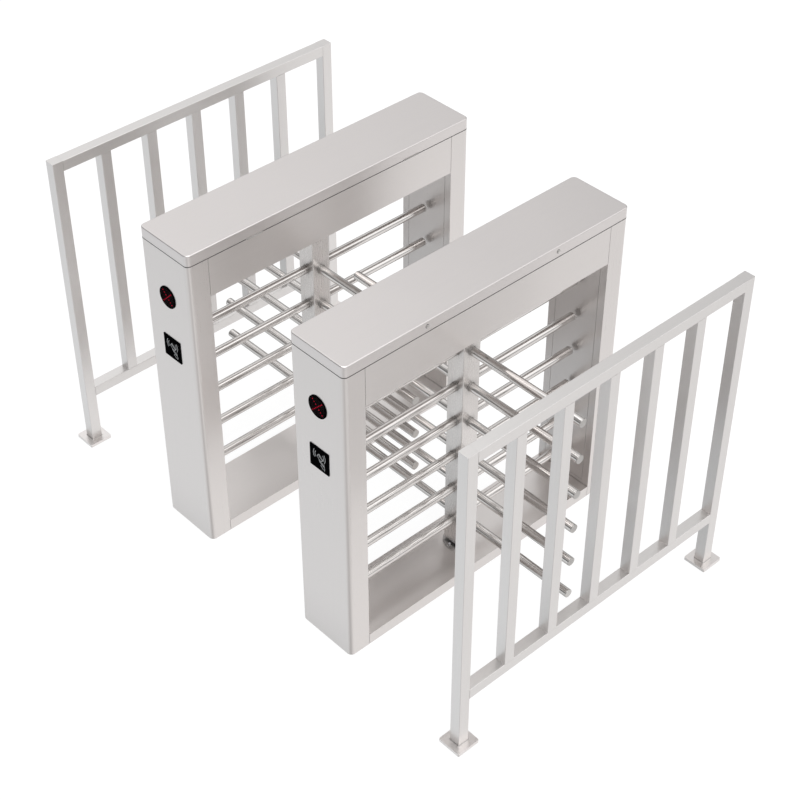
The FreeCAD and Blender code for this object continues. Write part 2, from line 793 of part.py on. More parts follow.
def pawl(sign):
    """The arm is turned back by the swing from the notch to its rest."""
    pivot_x, pivot_y = dim["pawl_pivot_x"] * sign, -dim["pawl_pivot_y"]
    plunger_y = pivot_y - dim["plunger_drop"]
    arm = turned(PAWL_ARM, -dim["pawl_swing"])
    if sign < 0:
        arm = [(-x, y) for x, y in reversed(arm)]
    arm = [(x + pivot_x, y + pivot_y) for x, y in arm]
    axis = signed("pawl_pivot_x", sign), "-pawl_pivot_y"
    under = (0, 0, "disc_under")
    lever = pad(polygon(arm), "disc_thick", under)
    boss = cylinder(14, "disc_thick", (*axis, "disc_under"))
    tail_profile = rounded(pivot_x - 8, plunger_y - 10, pivot_x + 8, pivot_y, (5, 5, 0, 0))
    tail = pad(tail_profile, "disc_thick", under)
    bore = cylinder("pawl_pin+run_gap", "disc_thick+4", (*axis, "disc_under-2"))
    slot_profile = rounded(
        pivot_x - 3.2, plunger_y - 5, pivot_x + 3.2, plunger_y + 5, (3.1,) * 4
    )
    slot = pad(slot_profile, "disc_thick+4", (0, 0, "disc_under-2"))
    return cut(fuse([lever, boss, tail]), [bore, slot])


for name, outer_sign, cabinet_x in CABINETS:
    for way, sign in (("entry", 1), ("exit", -1)):
        node(f"{name}_{way}_pawl", place(pawl(sign), cabinet_x))
        node(f"{name}_{way}_plunger", place(plunger(sign), cabinet_x))
for label, make in (("pawl_solenoids", solenoid), ("pawl_pins", pawl_pin)):
    node(label, group([place(make(sign), x) for _, _, x in CABINETS for sign in (1, -1)]))

# ---------------------------------------------------------------- electronics
# Blocks on the control board: x low, x high, y low, y high, top above the beam floor
BOARD_BLOCKS = (
    (-62, -40, 290, 420, 26),
    (20, 52, 300, 330, 30),
    (20, 52, 345, 375, 30),
    (-20, 6, 350, 376, 17),
    (20, 60, 392, 424, 20),
)


def board():
    card = box((-70, 70), (270, 440), (f"{BEAM_BED}+12", f"{BEAM_BED}+14"))
    feet = [cylinder(4, 13, (x, y, BEAM_BED)) for x in (-60, 60) for y in (280, 430)]
    blocks = [
        box((x0, x1), (y0, y1), (f"{BEAM_BED}+13", f"{BEAM_BED}+{top}"))
        for x0, x1, y0, y1, top in BOARD_BLOCKS
    ]
    return fuse([card] + feet + blocks)


def supply():
    """Power supply case with a flat ear at each end."""
    case = box(span(52), (-460, -260), (BEAM_BED, f"{BEAM_BED}+42"))
    ears = box(span(52), (-474, -246), (BEAM_BED, f"{BEAM_BED}+3"))
    return fuse([case, ears])


def lamp():
    lens = cylinder("lamp_radius", 2, (0, f"-{HALF_LENGTH}-2", "lamp_z"), "y")
    body = cylinder("lamp_radius-4", 24, (0, f"-{HALF_LENGTH}-1", "lamp_z"), "y")
    return fuse([lens, body])


def reader():
    half = dim["reader_size"] / 2
    face = pad(rounded_centred(half, half, 5), 2, (0, f"-{HALF_LENGTH}", "reader_z"), "-y")
    back = box(
        span("reader_size/2-4"),
        (f"-{HALF_LENGTH}-1", f"-{HALF_LENGTH}+22"),
        span("reader_size/2-4", "reader_z"),
    )
    return fuse([face, back])


node("control_boards", in_cabinets(board))
node("power_supplies", in_cabinets(supply))
node("direction_indicators", in_cabinets(lamp, turns=BOTH_ENDS))
node("card_readers", in_cabinets(reader, turns=BOTH_ENDS))

# ---------------------------------------------------------------- guard railings
RAILING_X = ("-lane_pitch/2-rail_offset", "lane_pitch/2+rail_offset")
POST_SITES = [
    (x, y)
    for x in RAILING_X
    for y in (
        f"-{HALF_LENGTH}+tube_size/2-rail_shift",
        f"{HALF_LENGTH}-tube_size/2-rail_shift",
    )
]


def tube_outside():
    half = dim["tube_size"] / 2
    return rounded_centred(half, half, 2.5)


def tube_inside():
    half = dim["tube_size"] / 2 - dim["tube_wall"]
    return rounded_centred(half, half, 1)


def railing_post(x, y):
    """Square tube with a flat welded top."""
    length = "cab_height-plate_thick"
    solid = pad(tube_outside(), length, (x, y, "plate_thick"))
    hollow = pad(tube_inside(), f"{length}-2", (x, y, "plate_thick-1"))
    return cut(solid, [hollow])


def rails(z):
    """One lengthwise tube per railing, between its posts."""
    start = f"-{HALF_LENGTH}+tube_size-rail_shift"
    return group(
        [
            pad(tube_outside() + tube_inside(), "cab_length-2*tube_size", (x, start, z), "y")
            for x in RAILING_X
        ]
    )


def baluster(x, place_number):
    y = f"baluster_mid+baluster_pitch*({place_number})-rail_shift"
    return pad(
        tube_outside() + tube_inside(),
        "cab_height-low_rail-2*tube_size",
        (x, y, "low_rail+tube_size"),
    )


def base_plate(x, y):
    half = dim["plate_size"] / 2
    return pad(rounded_centred(half, half, 6), "plate_thick", (x, y, 0))


node("railing_posts", group([railing_post(x, y) for x, y in POST_SITES]))
node("railing_top_rails", rails("cab_height-tube_size/2"))
node("railing_lower_rails", rails("low_rail+tube_size/2"))
node("railing_balusters", group([baluster(x, k) for x in RAILING_X for k in range(-2, 3)]))
node("railing_base_plates", group([base_plate(x, y) for x, y in POST_SITES]))

# ---------------------------------------------------------------- checks and export
doc.recompute()
bad = [o.Name for o in doc.Objects if any(s in ("Invalid", "Error") for s in o.State)]
if bad:
    raise RuntimeError("recompute failed: " + ", ".join(bad[:20]))
os.makedirs("parts", exist_ok=True)
for obj in NODES:
    shape = obj.Shape
    if shape.isNull() or not shape.isValid() or not shape.Solids:
        raise RuntimeError("bad shape: " + obj.Label)
    shape.exportStep("parts/" + obj.Label + ".step")
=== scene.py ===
import math

import bpy
import bmesh
from mathutils import Matrix, Vector


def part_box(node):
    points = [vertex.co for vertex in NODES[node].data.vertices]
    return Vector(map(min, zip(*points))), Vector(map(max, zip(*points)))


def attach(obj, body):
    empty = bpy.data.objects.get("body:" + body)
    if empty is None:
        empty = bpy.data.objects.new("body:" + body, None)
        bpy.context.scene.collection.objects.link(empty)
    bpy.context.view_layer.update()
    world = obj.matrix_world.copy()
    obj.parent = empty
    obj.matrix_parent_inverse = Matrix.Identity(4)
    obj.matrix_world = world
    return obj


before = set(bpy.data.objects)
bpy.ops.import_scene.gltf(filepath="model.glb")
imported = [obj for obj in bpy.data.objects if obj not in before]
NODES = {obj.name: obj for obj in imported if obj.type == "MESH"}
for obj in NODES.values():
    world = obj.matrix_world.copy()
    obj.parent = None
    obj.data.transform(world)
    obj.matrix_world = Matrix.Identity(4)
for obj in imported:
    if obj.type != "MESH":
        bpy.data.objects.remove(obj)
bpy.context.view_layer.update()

SIDES = (("left", -1, -452.5), ("right", 1, 452.5))
ENDS = (("front", -1), ("rear", 1))
PI = math.pi


# ------------------------------------------------------------------ materials
class Mat:
    """A node material. n() adds a node and gives one of its outputs."""

    def __init__(self, name):
        self.m = bpy.data.materials.new(name)
        self.m.use_nodes = True
        self.t = self.m.node_tree
        self.t.nodes.clear()

    def n(self, kind, ins=None, out=0, **props):
        node = self.t.nodes.new("ShaderNode" + kind)
        for k, v in props.items():
            setattr(node, k, v)
        for k, v in (ins or {}).items():
            if isinstance(v, bpy.types.NodeSocket):
                self.t.links.new(v, node.inputs[k])
            else:
                node.inputs[k].default_value = v
        return node.outputs[out]

    def place(self):
        return self.n("TexCoord", out=3)

    def noise(self, scale, detail=2.0, rough=0.55, stretch=(1, 1, 1), offset=(0, 0, 0)):
        v = self.n("Mapping", {"Vector": self.place(), "Scale": stretch, "Location": offset})
        return self.n("TexNoise", {"Vector": v, "Scale": scale, "Detail": detail, "Roughness": rough})

    def fit(self, v, a, b, c, d):
        return self.n("MapRange", {"Value": v, "From Min": a, "From Max": b, "To Min": c, "To Max": d})

    def op(self, kind, a, b=0.0):
        return self.n("Math", {0: a, 1: b}, operation=kind)

    def total(self, base, *parts):
        out = base
        for v, k in parts:
            out = self.op("ADD", self.op("MULTIPLY", self.op("SUBTRACT", v, 0.5), k), out)
        return out

    def tint(self, rgb, value):
        return self.n("VectorMath", {0: rgb, 3: value}, operation="SCALE")

    def mix(self, f, a, b):
        return self.n("Mix", {0: f, 6: a, 7: b}, out=2, data_type="RGBA")

    def bsdf(self, **ins):
        b = self.n("BsdfPrincipled", {k.replace("_", " "): v for k, v in ins.items()})
        self.t.links.new(b, self.t.nodes.new("ShaderNodeOutputMaterial").inputs["Surface"])
        return self.m


def rgba(r, g, b):
    return (r, g, b, 1.0)


def edge(M, radius):
    """Rounded normal for sharp edges, and how near an edge the point is (0 to 1)."""
    soft = M.n("Bevel", {"Radius": radius}, samples=4)
    flat = M.n("NewGeometry", out=1)
    dot = M.n("VectorMath", {0: soft, 1: flat}, out=1, operation="DOT_PRODUCT")
    return soft, M.fit(dot, 1.0, 0.86, 0.0, 1.0)


def painted_joint_shade(M, reach, low, high, floor):
    """Painted shade where another surface is close: 1 in the open, down to `floor` in the corner."""
    open_sky = M.n("AmbientOcclusion", {"Distance": reach}, out=1, samples=6)
    return M.fit(open_sky, low, high, floor, 1.0)


STRETCH = {"x": (0.02, 1, 1), "y": (1, 0.02, 1), "z": (1, 1, 0.02)}


def steel(name, tone, rough, grain, fine=0.05, broad=0.035, cloud=0.03, round_mm=1.2, bump=0.05, shine=0.04, painted_corner_shade=None):
    """Satin sheet: hairline grain along one direction, soft clouding, brighter polished edges."""
    M = Mat(name)
    hair = M.noise(1500, 2, 0.6, STRETCH[grain])
    band = M.noise(150, 3, 0.6, STRETCH[grain])
    haze = M.noise(2.1, 3, 0.5)
    dust = M.noise(520, 1, 0.5)
    soft, worn = edge(M, round_mm * 0.001)
    value = M.total(1.0, (hair, fine), (band, broad), (haze, cloud), (dust, 0.03))
    value = M.op("ADD", value, M.op("MULTIPLY", worn, 0.05))
    # optional painted shade: colour darkened where another surface is close
    if painted_corner_shade:
        value = M.op("MULTIPLY", value, painted_joint_shade(M, *painted_corner_shade))
    r = M.total(rough, (haze, 0.09), (band, 0.07), (dust, 0.04))
    r = M.op("SUBTRACT", r, M.op("MULTIPLY", worn, shine))
    normal = M.n("Bump", {"Strength": bump, "Distance": 0.0004, "Height": hair, "Normal": soft})
    return M.bsdf(Base_Color=M.tint(tone, value), Metallic=1.0, Roughness=r, Normal=normal)


def tube_steel(name, tone, rough):
    """Polished round tube: the grain runs along each wing, whichever way the wing points."""
    M = Mat(name)
    xyz = M.n("SeparateXYZ", {0: M.place()})
    sep = xyz.node
    ax = M.op("ABSOLUTE", M.op("SUBTRACT", M.op("ABSOLUTE", sep.outputs[0]), 0.4525))
    ay = M.op("ABSOLUTE", sep.outputs[1])
    pick = M.op("GREATER_THAN", ax, ay)
    gx, gy = M.noise(900, 2, 0.6, (0.012, 1, 1)), M.noise(900, 2, 0.6, (1, 0.012, 1))
    hair = M.n("Mix", {0: pick, 2: gy, 3: gx}, data_type="FLOAT")
    haze = M.noise(9, 3, 0.55)
    smear = M.noise(34, 4, 0.6)
    soft, worn = edge(M, 0.0012)
    value = M.total(1.0, (hair, 0.07), (haze, 0.05))
    value = M.op("ADD", value, M.op("MULTIPLY", worn, 0.08))
    # painted shade where the tubes come close to the post and other parts
    value = M.op("MULTIPLY", value, painted_joint_shade(M, 0.060, 0.60, 0.95, 0.50))
    r = M.total(rough, (hair, 0.06), (haze, 0.07), (smear, 0.06))
    normal = M.n("Bump", {"Strength": 0.04, "Distance": 0.0003, "Height": hair, "Normal": soft})
    return M.bsdf(Base_Color=M.tint(tone, value), Metallic=1.0, Roughness=r, Normal=normal)


def turned(name, tone, rough, metal=1.0, oil=0.0):
    """Machined metal: lathe rings and a thin uneven film."""
    M = Mat(name)
    rings = M.noise(1100, 2, 0.5, (0.15, 0.15, 1))
    grit = M.noise(260, 4, 0.65)
    film = M.noise(22, 3, 0.6)
    soft, worn = edge(M, 0.0007)
    value = M.total(1.0, (rings, 0.12), (grit, 0.16), (film, 0.14))
    value = M.op("ADD", value, M.op("MULTIPLY", worn, 0.18))
    r = M.total(rough, (rings, 0.10), (film, 0.16), (grit, 0.08))
    normal = M.n("Bump", {"Strength": 0.10, "Distance": 0.0003, "Height": grit, "Normal": soft})
    return M.bsdf(Base_Color=M.tint(tone, value), Metallic=metal, Roughness=r, Normal=normal, Coat_Weight=oil, Coat_Roughness=0.12)


def plastic(name, tone, rough, texture=700, depth=0.12, wear=0.25, coat=0.0, spread=0.10):
    """Moulded plastic or rubber: fine spark texture, slightly dull grey at the edges."""
    M = Mat(name)
    spark = M.noise(texture, 3, 0.6)
    haze = M.noise(14, 3, 0.55)
    soft, worn = edge(M, 0.0006)
    value = M.total(1.0, (spark, spread), (haze, 0.12))
    value = M.op("ADD", value, M.op("MULTIPLY", worn, wear))
    r = M.total(rough, (spark, 0.10), (haze, 0.10))
    normal = M.n("Bump", {"Strength": depth, "Distance": 0.0003, "Height": spark, "Normal": soft})
    return M.bsdf(Base_Color=M.tint(tone, value), Roughness=r, Normal=normal, Coat_Weight=coat, Coat_Roughness=0.05)


def glass_black(name):
    """Dark printed glass: clear hard surface with faint smears."""
    M = Mat(name)
    smear = M.noise(26, 4, 0.6)
    fine = M.noise(900, 2, 0.5)
    soft, worn = edge(M, 0.0008)
    value = M.total(1.0, (smear, 0.3), (fine, 0.15))
    value = M.op("ADD", value, M.op("MULTIPLY", worn, 2.0))
    return M.bsdf(
        Base_Color=M.tint((0.0022, 0.0022, 0.0026), value), Roughness=M.total(0.24, (smear, 0.14)),
        IOR=1.02, Specular_IOR_Level=0.0, Normal=soft,
    )


def glow(name, rgb, strength, lit=True):
    """Lamp dot: clear domed resin over a chip."""
    M = Mat(name)
    flick = M.noise(140, 2, 0.5)
    soft, worn = edge(M, 0.0003)
    value = M.total(1.0, (flick, 0.5))
    power = M.op("MULTIPLY", value, strength)
    return M.bsdf(
        Base_Color=M.tint(rgb, value), Roughness=M.total(0.35, (flick, 0.1)), Normal=soft,
        IOR=1.12, Emission_Color=rgba(*rgb), Emission_Strength=power,
    )


def board_green(name):
    """Circuit board: copper traces under green resist."""
    M = Mat(name)
    v = M.n("Mapping", {"Vector": M.place(), "Scale": (1, 1, 1)})
    cells = M.n("TexVoronoi", {"Vector": v, "Scale": 240.0}, feature="DISTANCE_TO_EDGE")
    trace = M.fit(cells, 0.02, 0.09, 1.0, 0.0)
    haze = M.noise(30, 3)
    soft, worn = edge(M, 0.0004)
    col = M.mix(trace, rgba(0.012, 0.105, 0.04), rgba(0.035, 0.22, 0.075))
    col = M.mix(M.op("MULTIPLY", worn, 0.6), col, rgba(0.16, 0.19, 0.10))
    normal = M.n("Bump", {"Strength": 0.2, "Distance": 0.0001, "Height": trace, "Normal": soft})
    return M.bsdf(Base_Color=col, Roughness=M.total(0.36, (haze, 0.15)), Normal=normal, Coat_Weight=0.4, Coat_Roughness=0.15)


def coil_tape(name):
    """Wound coil under lacquered tape."""
    M = Mat(name)
    wind = M.n("TexWave", {"Vector": M.place(), "Scale": 330.0, "Distortion": 0.4, "Detail": 1.0}, out=1, bands_direction="X")
    haze = M.noise(60, 3)
    soft, worn = edge(M, 0.0008)
    value = M.total(1.0, (wind, 0.30), (haze, 0.25))
    value = M.op("ADD", value, M.op("MULTIPLY", worn, 0.3))
    normal = M.n("Bump", {"Strength": 0.35, "Distance": 0.0003, "Height": wind, "Normal": soft})
    return M.bsdf(Base_Color=M.tint((0.055, 0.030, 0.020), value), Roughness=M.total(0.42, (haze, 0.12)), Normal=normal)


WARM = (0.735, 0.703, 0.688)
MATS = {
    "sheet_z": steel("satin_sheet_upright", WARM, 0.30, "z"),
    "sheet_y": steel("satin_sheet_long", WARM, 0.31, "y"),
    "lid_y": steel("satin_lid", (0.735, 0.702, 0.692), 0.33, "y", fine=0.06),
    # painted shade on the post where other parts, chiefly the wing tubes, come close
    "post_z": steel("satin_post", (0.74, 0.712, 0.695), 0.27, "z", painted_corner_shade=(0.032, 0.55, 0.92, 0.60)),
    "tube": tube_steel("polished_tube", (0.74, 0.715, 0.698), 0.12),
    "rail_z": steel("satin_rail_upright", (0.755, 0.735, 0.724), 0.34, "z", fine=0.10, broad=0.06, round_mm=1.0),
    "rail_y": steel("satin_rail_long", (0.755, 0.735, 0.724), 0.34, "y", fine=0.10, broad=0.06, round_mm=1.0),
    "plate": steel("satin_base_plate", (0.815, 0.783, 0.768), 0.33, "y", round_mm=1.0),
    "machined": turned("turned_steel", (0.55, 0.54, 0.53), 0.24),
    "gear": turned("gear_steel", (0.36, 0.35, 0.345), 0.33, oil=0.35),
    "cap": turned("brushed_cap", (0.60, 0.585, 0.57), 0.34),
    "hinge": turned("hinge_steel", (0.42, 0.41, 0.40), 0.42),
    "weld_foot": turned("foot_weld", (0.60, 0.58, 0.565), 0.36),
    # darker weld tone: partly the weld's own tint, partly painted shade at the roots of the wing tubes
    "weld": turned("weld_tint_and_painted_root_shade", (0.36, 0.345, 0.33), 0.38),
    "iron": turned("bearing_housing", (0.40, 0.39, 0.385), 0.36),
    "bolt": turned("bolt_zinc", (0.58, 0.58, 0.60), 0.28),
    "blackbolt": turned("bolt_black_oxide", (0.045, 0.045, 0.048), 0.42, metal=0.7),
    "lock": turned("lock_nickel", (0.62, 0.61, 0.59), 0.20),
    "glass": glass_black("dark_glass"),
    "bezel": glass_black("dark_bezel"),
    "case": plastic("black_case", (0.020, 0.020, 0.022), 0.48),
    "rubber": plastic("black_rubber", (0.018, 0.018, 0.018), 0.75, texture=420, depth=0.25, wear=0.5),
    # near-black seal strip in the lid seam: partly a real seal, partly painted seam shadow
    "gasket": plastic("seal_strip_painted_seam_shadow", (0.012, 0.012, 0.012), 0.85, texture=300, depth=0.3, wear=0.4),
    "coil": coil_tape("coil_winding"),
    "board": board_green("circuit_board"),
    "supply": steel("perforated_case", (0.52, 0.53, 0.54), 0.42, "y", fine=0.08, round_mm=0.8),
    "led_on": glow("lamp_red_lit", (0.40, 0.007, 0.026), 0.45),
    "led_off": glow("lamp_unlit", (0.006, 0.0010, 0.0015), 0.3),
    "print": plastic("grey_print", (0.44, 0.45, 0.46), 0.55, texture=1200, depth=0.05, wear=0.1),
    "relay": plastic("relay_blue", (0.02, 0.075, 0.20), 0.35, wear=0.3),
    "terminal": plastic("terminal_green", (0.025, 0.20, 0.07), 0.40, wear=0.3),
    "cream": plastic("connector_cream", (0.62, 0.58, 0.48), 0.42, wear=0.1),
    "can": turned("capacitor_can", (0.60, 0.61, 0.63), 0.25),
    "wire_k": plastic("cable_black", (0.015, 0.015, 0.016), 0.45, texture=500),
    "wire_r": plastic("cable_red", (0.35, 0.015, 0.012), 0.42, texture=500, wear=0.1),
    "wire_b": plastic("cable_blue", (0.012, 0.06, 0.28), 0.42, texture=500, wear=0.1),
    "wire_y": plastic("cable_yellow", (0.55, 0.40, 0.03), 0.42, texture=500, wear=0.1),
    "brass": turned("terminal_brass", (0.62, 0.46, 0.20), 0.26),
    "tie": plastic("cable_tie", (0.55, 0.55, 0.53), 0.40, wear=0.1),
}


def paint(node, key):
    me = NODES[node].data
    me.materials.clear()
    me.materials.append(MATS[key])


for side, sx, cx in SIDES:
    for name, key in (
        ("front_column", "sheet_z"), ("rear_column", "sheet_z"), ("beam", "sheet_y"), ("base", "sheet_y"), ("lid", "lid_y"),
        ("front_lid_lock", "lock"), ("rear_lid_lock", "lock"), ("lid_hinge_leaves", "hinge"), ("rotor_post", "post_z"),
        ("rotor_bars", "tube"), ("bar_end_caps", "cap"), ("rotor_shaft", "machined"), ("drive_gear", "gear"),
        ("lock_disc", "machined"), ("damper_pinion", "gear"), ("encoder_pinion", "gear"), ("entry_pawl", "machined"),
        ("exit_pawl", "machined"), ("entry_plunger", "bolt"), ("exit_plunger", "bolt"),
    ):
        paint(side + "_" + name, key)
for name, key in (
    ("column_door_panels", "sheet_z"), ("fixed_hinge_leaves", "hinge"), ("lid_bumpers", "rubber"), ("bottom_bearings", "iron"),
    ("top_bearings", "iron"), ("mechanism_plates", "machined"), ("rotary_dampers", "case"), ("rotor_encoders", "case"),
    ("pawl_solenoids", "coil"), ("pawl_pins", "bolt"), ("control_boards", "board"), ("power_supplies", "supply"),
    ("direction_indicators", "glass"), ("card_readers", "glass"), ("railing_posts", "rail_z"), ("railing_top_rails", "rail_y"),
    ("railing_lower_rails", "rail_y"), ("railing_balusters", "rail_z"), ("railing_base_plates", "plate"),
):
    paint(name, key)


def round_edges(node, width, segments=3, angle=50):
    """Small real bevel on a solid block's sharp edges."""
    o = NODES[node]
    w = o.modifiers.new("join", "WELD")
    w.merge_threshold = 0.00002
    b = o.modifiers.new("round", "BEVEL")
    b.width = width * 0.001
    b.segments = segments
    b.limit_method = "ANGLE"
    b.angle_limit = math.radians(angle)
    b.use_clamp_overlap = True
    b.harden_normals = False


round_edges("railing_base_plates", 1.5)
for side, sx, cx in SIDES:
    round_edges(side + "_bar_end_caps", 1.3)


# ------------------------------------------------------------------ mesh builders, in millimetres
def piece(name, bm, key, body, angle=38):
    bmesh.ops.remove_doubles(bm, verts=bm.verts, dist=1e-4)
    bmesh.ops.recalc_face_normals(bm, faces=bm.faces)
    bmesh.ops.scale(bm, vec=(0.001,) * 3, verts=bm.verts)
    me = bpy.data.meshes.new(name)
    bm.to_mesh(me)
    bm.free()
    for k in key if isinstance(key, tuple) else (key,):
        me.materials.append(MATS[k])
    for p in me.polygons:
        p.use_smooth = True
    me.set_sharp_from_angle(angle=math.radians(angle))
    o = bpy.data.objects.new(name, me)
    bpy.context.scene.collection.objects.link(o)
    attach(o, body)
    return o


def lathe(bm, profile, at=Matrix(), seg=32, loop=False, mat=0, wobble=None):
    """Revolves (radius, height) points round the local z axis. loop closes the profile on itself."""
    rings = []
    for i, (r, h) in enumerate(profile):
        if r < 1e-6:
            rings.append([bm.verts.new(at @ Vector((0, 0, h)))])
            continue
        ring = []
        for k in range(seg):
            a = 2 * PI * k / seg
            dr, dh = wobble(i, a) if wobble else (0, 0)
            ring.append(bm.verts.new(at @ Vector(((r + dr) * math.cos(a), (r + dr) * math.sin(a), h + dh))))
        rings.append(ring)
    for a, b in zip(rings, rings[1:] + ([rings[0]] if loop else [])):
        if len(a) == 1 and len(b) == 1:
            continue
        for k in range(seg):
            j = (k + 1) % seg
            vs = (a[0], b[j], b[k]) if len(a) == 1 else (a[k], a[j], b[0]) if len(b) == 1 else (a[k], a[j], b[j], b[k])
            bm.faces.new(vs).material_index = mat


def merge(bm, part, at, mat):
    bmesh.ops.recalc_face_normals(part, faces=part.faces)
    bmesh.ops.transform(part, matrix=at, verts=part.verts)
    for f in part.faces:
        f.material_index = mat
    me = bpy.data.meshes.new("tmp")
    part.to_mesh(me)
    part.free()
    bm.from_mesh(me)
    bpy.data.meshes.remove(me)


def block(bm, lo, hi, at=Matrix(), r=0.6, seg=2, mat=0):
    """Box with rounded edges."""
    part = bmesh.new()
    bmesh.ops.create_cube(part, size=1.0)
    size = Vector(hi) - Vector(lo)
    mid = (Vector(hi) + Vector(lo)) / 2
    bmesh.ops.transform(part, matrix=Matrix.Translation(mid) @ Matrix.Diagonal((*size, 1.0)), verts=part.verts)
    if r:
        bmesh.ops.bevel(part, geom=part.edges[:], offset=min(r, min(size) * 0.45), segments=seg, profile=0.5, affect="EDGES")
    merge(bm, part, at, mat)


def slab(bm, outline, h0, h1, at=Matrix(), r=0.0, holes=(), mat=0):
    """Flat plate from an outline, with holes, and an optional rounded top edge."""
    part = bmesh.new()
    edges, loops = [], []
    for pts in (outline, *holes):
        vs = [part.verts.new((x, y, h0)) for x, y in pts]
        loops.append(vs)
        edges += [part.edges.new((vs[i], vs[(i + 1) % len(vs)])) for i in range(len(vs))]
    bmesh.ops.triangle_fill(part, edges=edges, use_beauty=True, use_dissolve=False)
    bmesh.ops.recalc_face_normals(part, faces=part.faces)
    got = bmesh.ops.extrude_face_region(part, geom=part.faces[:])
    top = [v for v in got["geom"] if isinstance(v, bmesh.types.BMVert)]
    bmesh.ops.translate(part, vec=(0, 0, h1 - h0), verts=top)
    if r:
        part.normal_update()
        rim = [e for e in part.edges if all(abs(v.co.z - h1) < 1e-6 for v in e.verts) and any(abs(f.normal.z) < 0.5 for f in e.link_faces)]
        bmesh.ops.bevel(part, geom=rim, offset=r, segments=2, profile=0.5, affect="EDGES", clamp_overlap=True)
    merge(bm, part, at, mat)


def arc(cx, cy, r, a0, a1, n):
    return [(cx + r * math.cos(math.radians(a0 + (a1 - a0) * k / n)), cy + r * math.sin(math.radians(a0 + (a1 - a0) * k / n))) for k in range(n + 1)]


def rect(w, h, r, cx=0.0, cy=0.0, turn=0.0, n=5):
    """Rounded rectangle outline."""
    pts = []
    for sx, sy, a in ((1, 1, 0), (-1, 1, 90), (-1, -1, 180), (1, -1, 270)):
        pts += arc(sx * (w / 2 - r), sy * (h / 2 - r), r, a, a + 90, n)
    c, s = math.cos(math.radians(turn)), math.sin(math.radians(turn))
    return [(cx + x * c - y * s, cy + x * s + y * c) for x, y in pts]


def smooth_path(points, step=8):
    """Catmull-Rom through the points."""
    P = [Vector(p) for p in points]
    P = [P[0] * 2 - P[1]] + P + [P[-1] * 2 - P[-2]]
    out = []
    for i in range(1, len(P) - 2):
        for k in range(step):
            t = k / step
            out.append(
                0.5 * ((2 * P[i]) + (P[i + 1] - P[i - 1]) * t + (2 * P[i - 1] - 5 * P[i] + 4 * P[i + 1] - P[i + 2]) * t * t
                       + (3 * P[i] - P[i - 1] - 3 * P[i + 1] + P[i + 2]) * t ** 3)
            )
    out.append(P[-2])
    return out


def sweep(bm, path, r, seg=10, mat=0):
    """Round cable along a path, closed at both ends."""
    rings = []
    t = (path[1] - path[0]).normalized()
    side = t.orthogonal().normalized()
    for i, p in enumerate(path):
        d = (path[min(i + 1, len(path) - 1)] - path[max(i - 1, 0)]).normalized()
        side = (side - d * side.dot(d)).normalized()
        up = d.cross(side)
        rings.append([bm.verts.new(p + r * (math.cos(2 * PI * k / seg) * side + math.sin(2 * PI * k / seg) * up)) for k in range(seg)])
    for a, b in zip(rings, rings[1:]):
        for k in range(seg):
            bm.faces.new((a[k], a[(k + 1) % seg], b[(k + 1) % seg], b[k])).material_index = mat
    bm.faces.new(rings[0]).material_index = mat
    bm.faces.new(rings[-1]).material_index = mat


def frame_at(origin, normal, up=(0, 0, 1)):
    """Local z along normal, local y along up."""
    ez = Vector(normal).normalized()
    ey = Vector(up)
    ex = ey.cross(ez).normalized()
    ey = ez.cross(ex)
    m = Matrix((ex, ey, ez)).transposed().to_4x4()
    m.translation = Vector(origin)
    return m


def cap_screw(bm, at, r, h, mat=0, dark=None):
    """Socket head: cylinder, chamfered rim, real hexagonal recess."""
    seg = 24
    c = min(0.12 * r, 0.5)
    lathe(bm, [(0.0, h - 0.55 * h), (0.50 * r, h - 0.55 * h)], at, 6, mat=mat)
    hexa = [(0.50 * r * math.cos(PI / 3 * k), 0.50 * r * math.sin(PI / 3 * k)) for k in range(6)]
    part = bmesh.new()
    low = [part.verts.new((x, y, 0.45 * h)) for x, y in hexa]
    top = [part.verts.new((x, y, h)) for x, y in hexa]
    for k in range(6):
        part.faces.new((low[k], low[(k + 1) % 6], top[(k + 1) % 6], top[k]))
    rim = [part.verts.new(((r - c) * math.cos(2 * PI * k / seg), (r - c) * math.sin(2 * PI * k / seg), h)) for k in range(seg)]
    for k in range(6):
        fan = rim[4 * k : 4 * k + 5] if k < 5 else rim[20:24] + [rim[0]]
        part.faces.new([top[k]] + fan + [top[(k + 1) % 6]])
    prev = rim
    for rr, hh in ((r, h - c), (r, 0.0)):
        ring = [part.verts.new((rr * math.cos(2 * PI * k / seg), rr * math.sin(2 * PI * k / seg), hh)) for k in range(seg)]
        for k in range(seg):
            part.faces.new((prev[k], prev[(k + 1) % seg], ring[(k + 1) % seg], ring[k]))
        prev = ring
    part.faces.new(prev)
    merge(bm, part, at, mat)


def pan_screw(bm, at, r, h, mat=0):
    """Domed head."""
    seg = 20
    lathe(bm, [(0, h * 0.98), (0.45 * r, h * 0.9), (0.8 * r, h * 0.6), (r, h * 0.12), (r, 0), (0, 0)], at, seg, mat=mat)


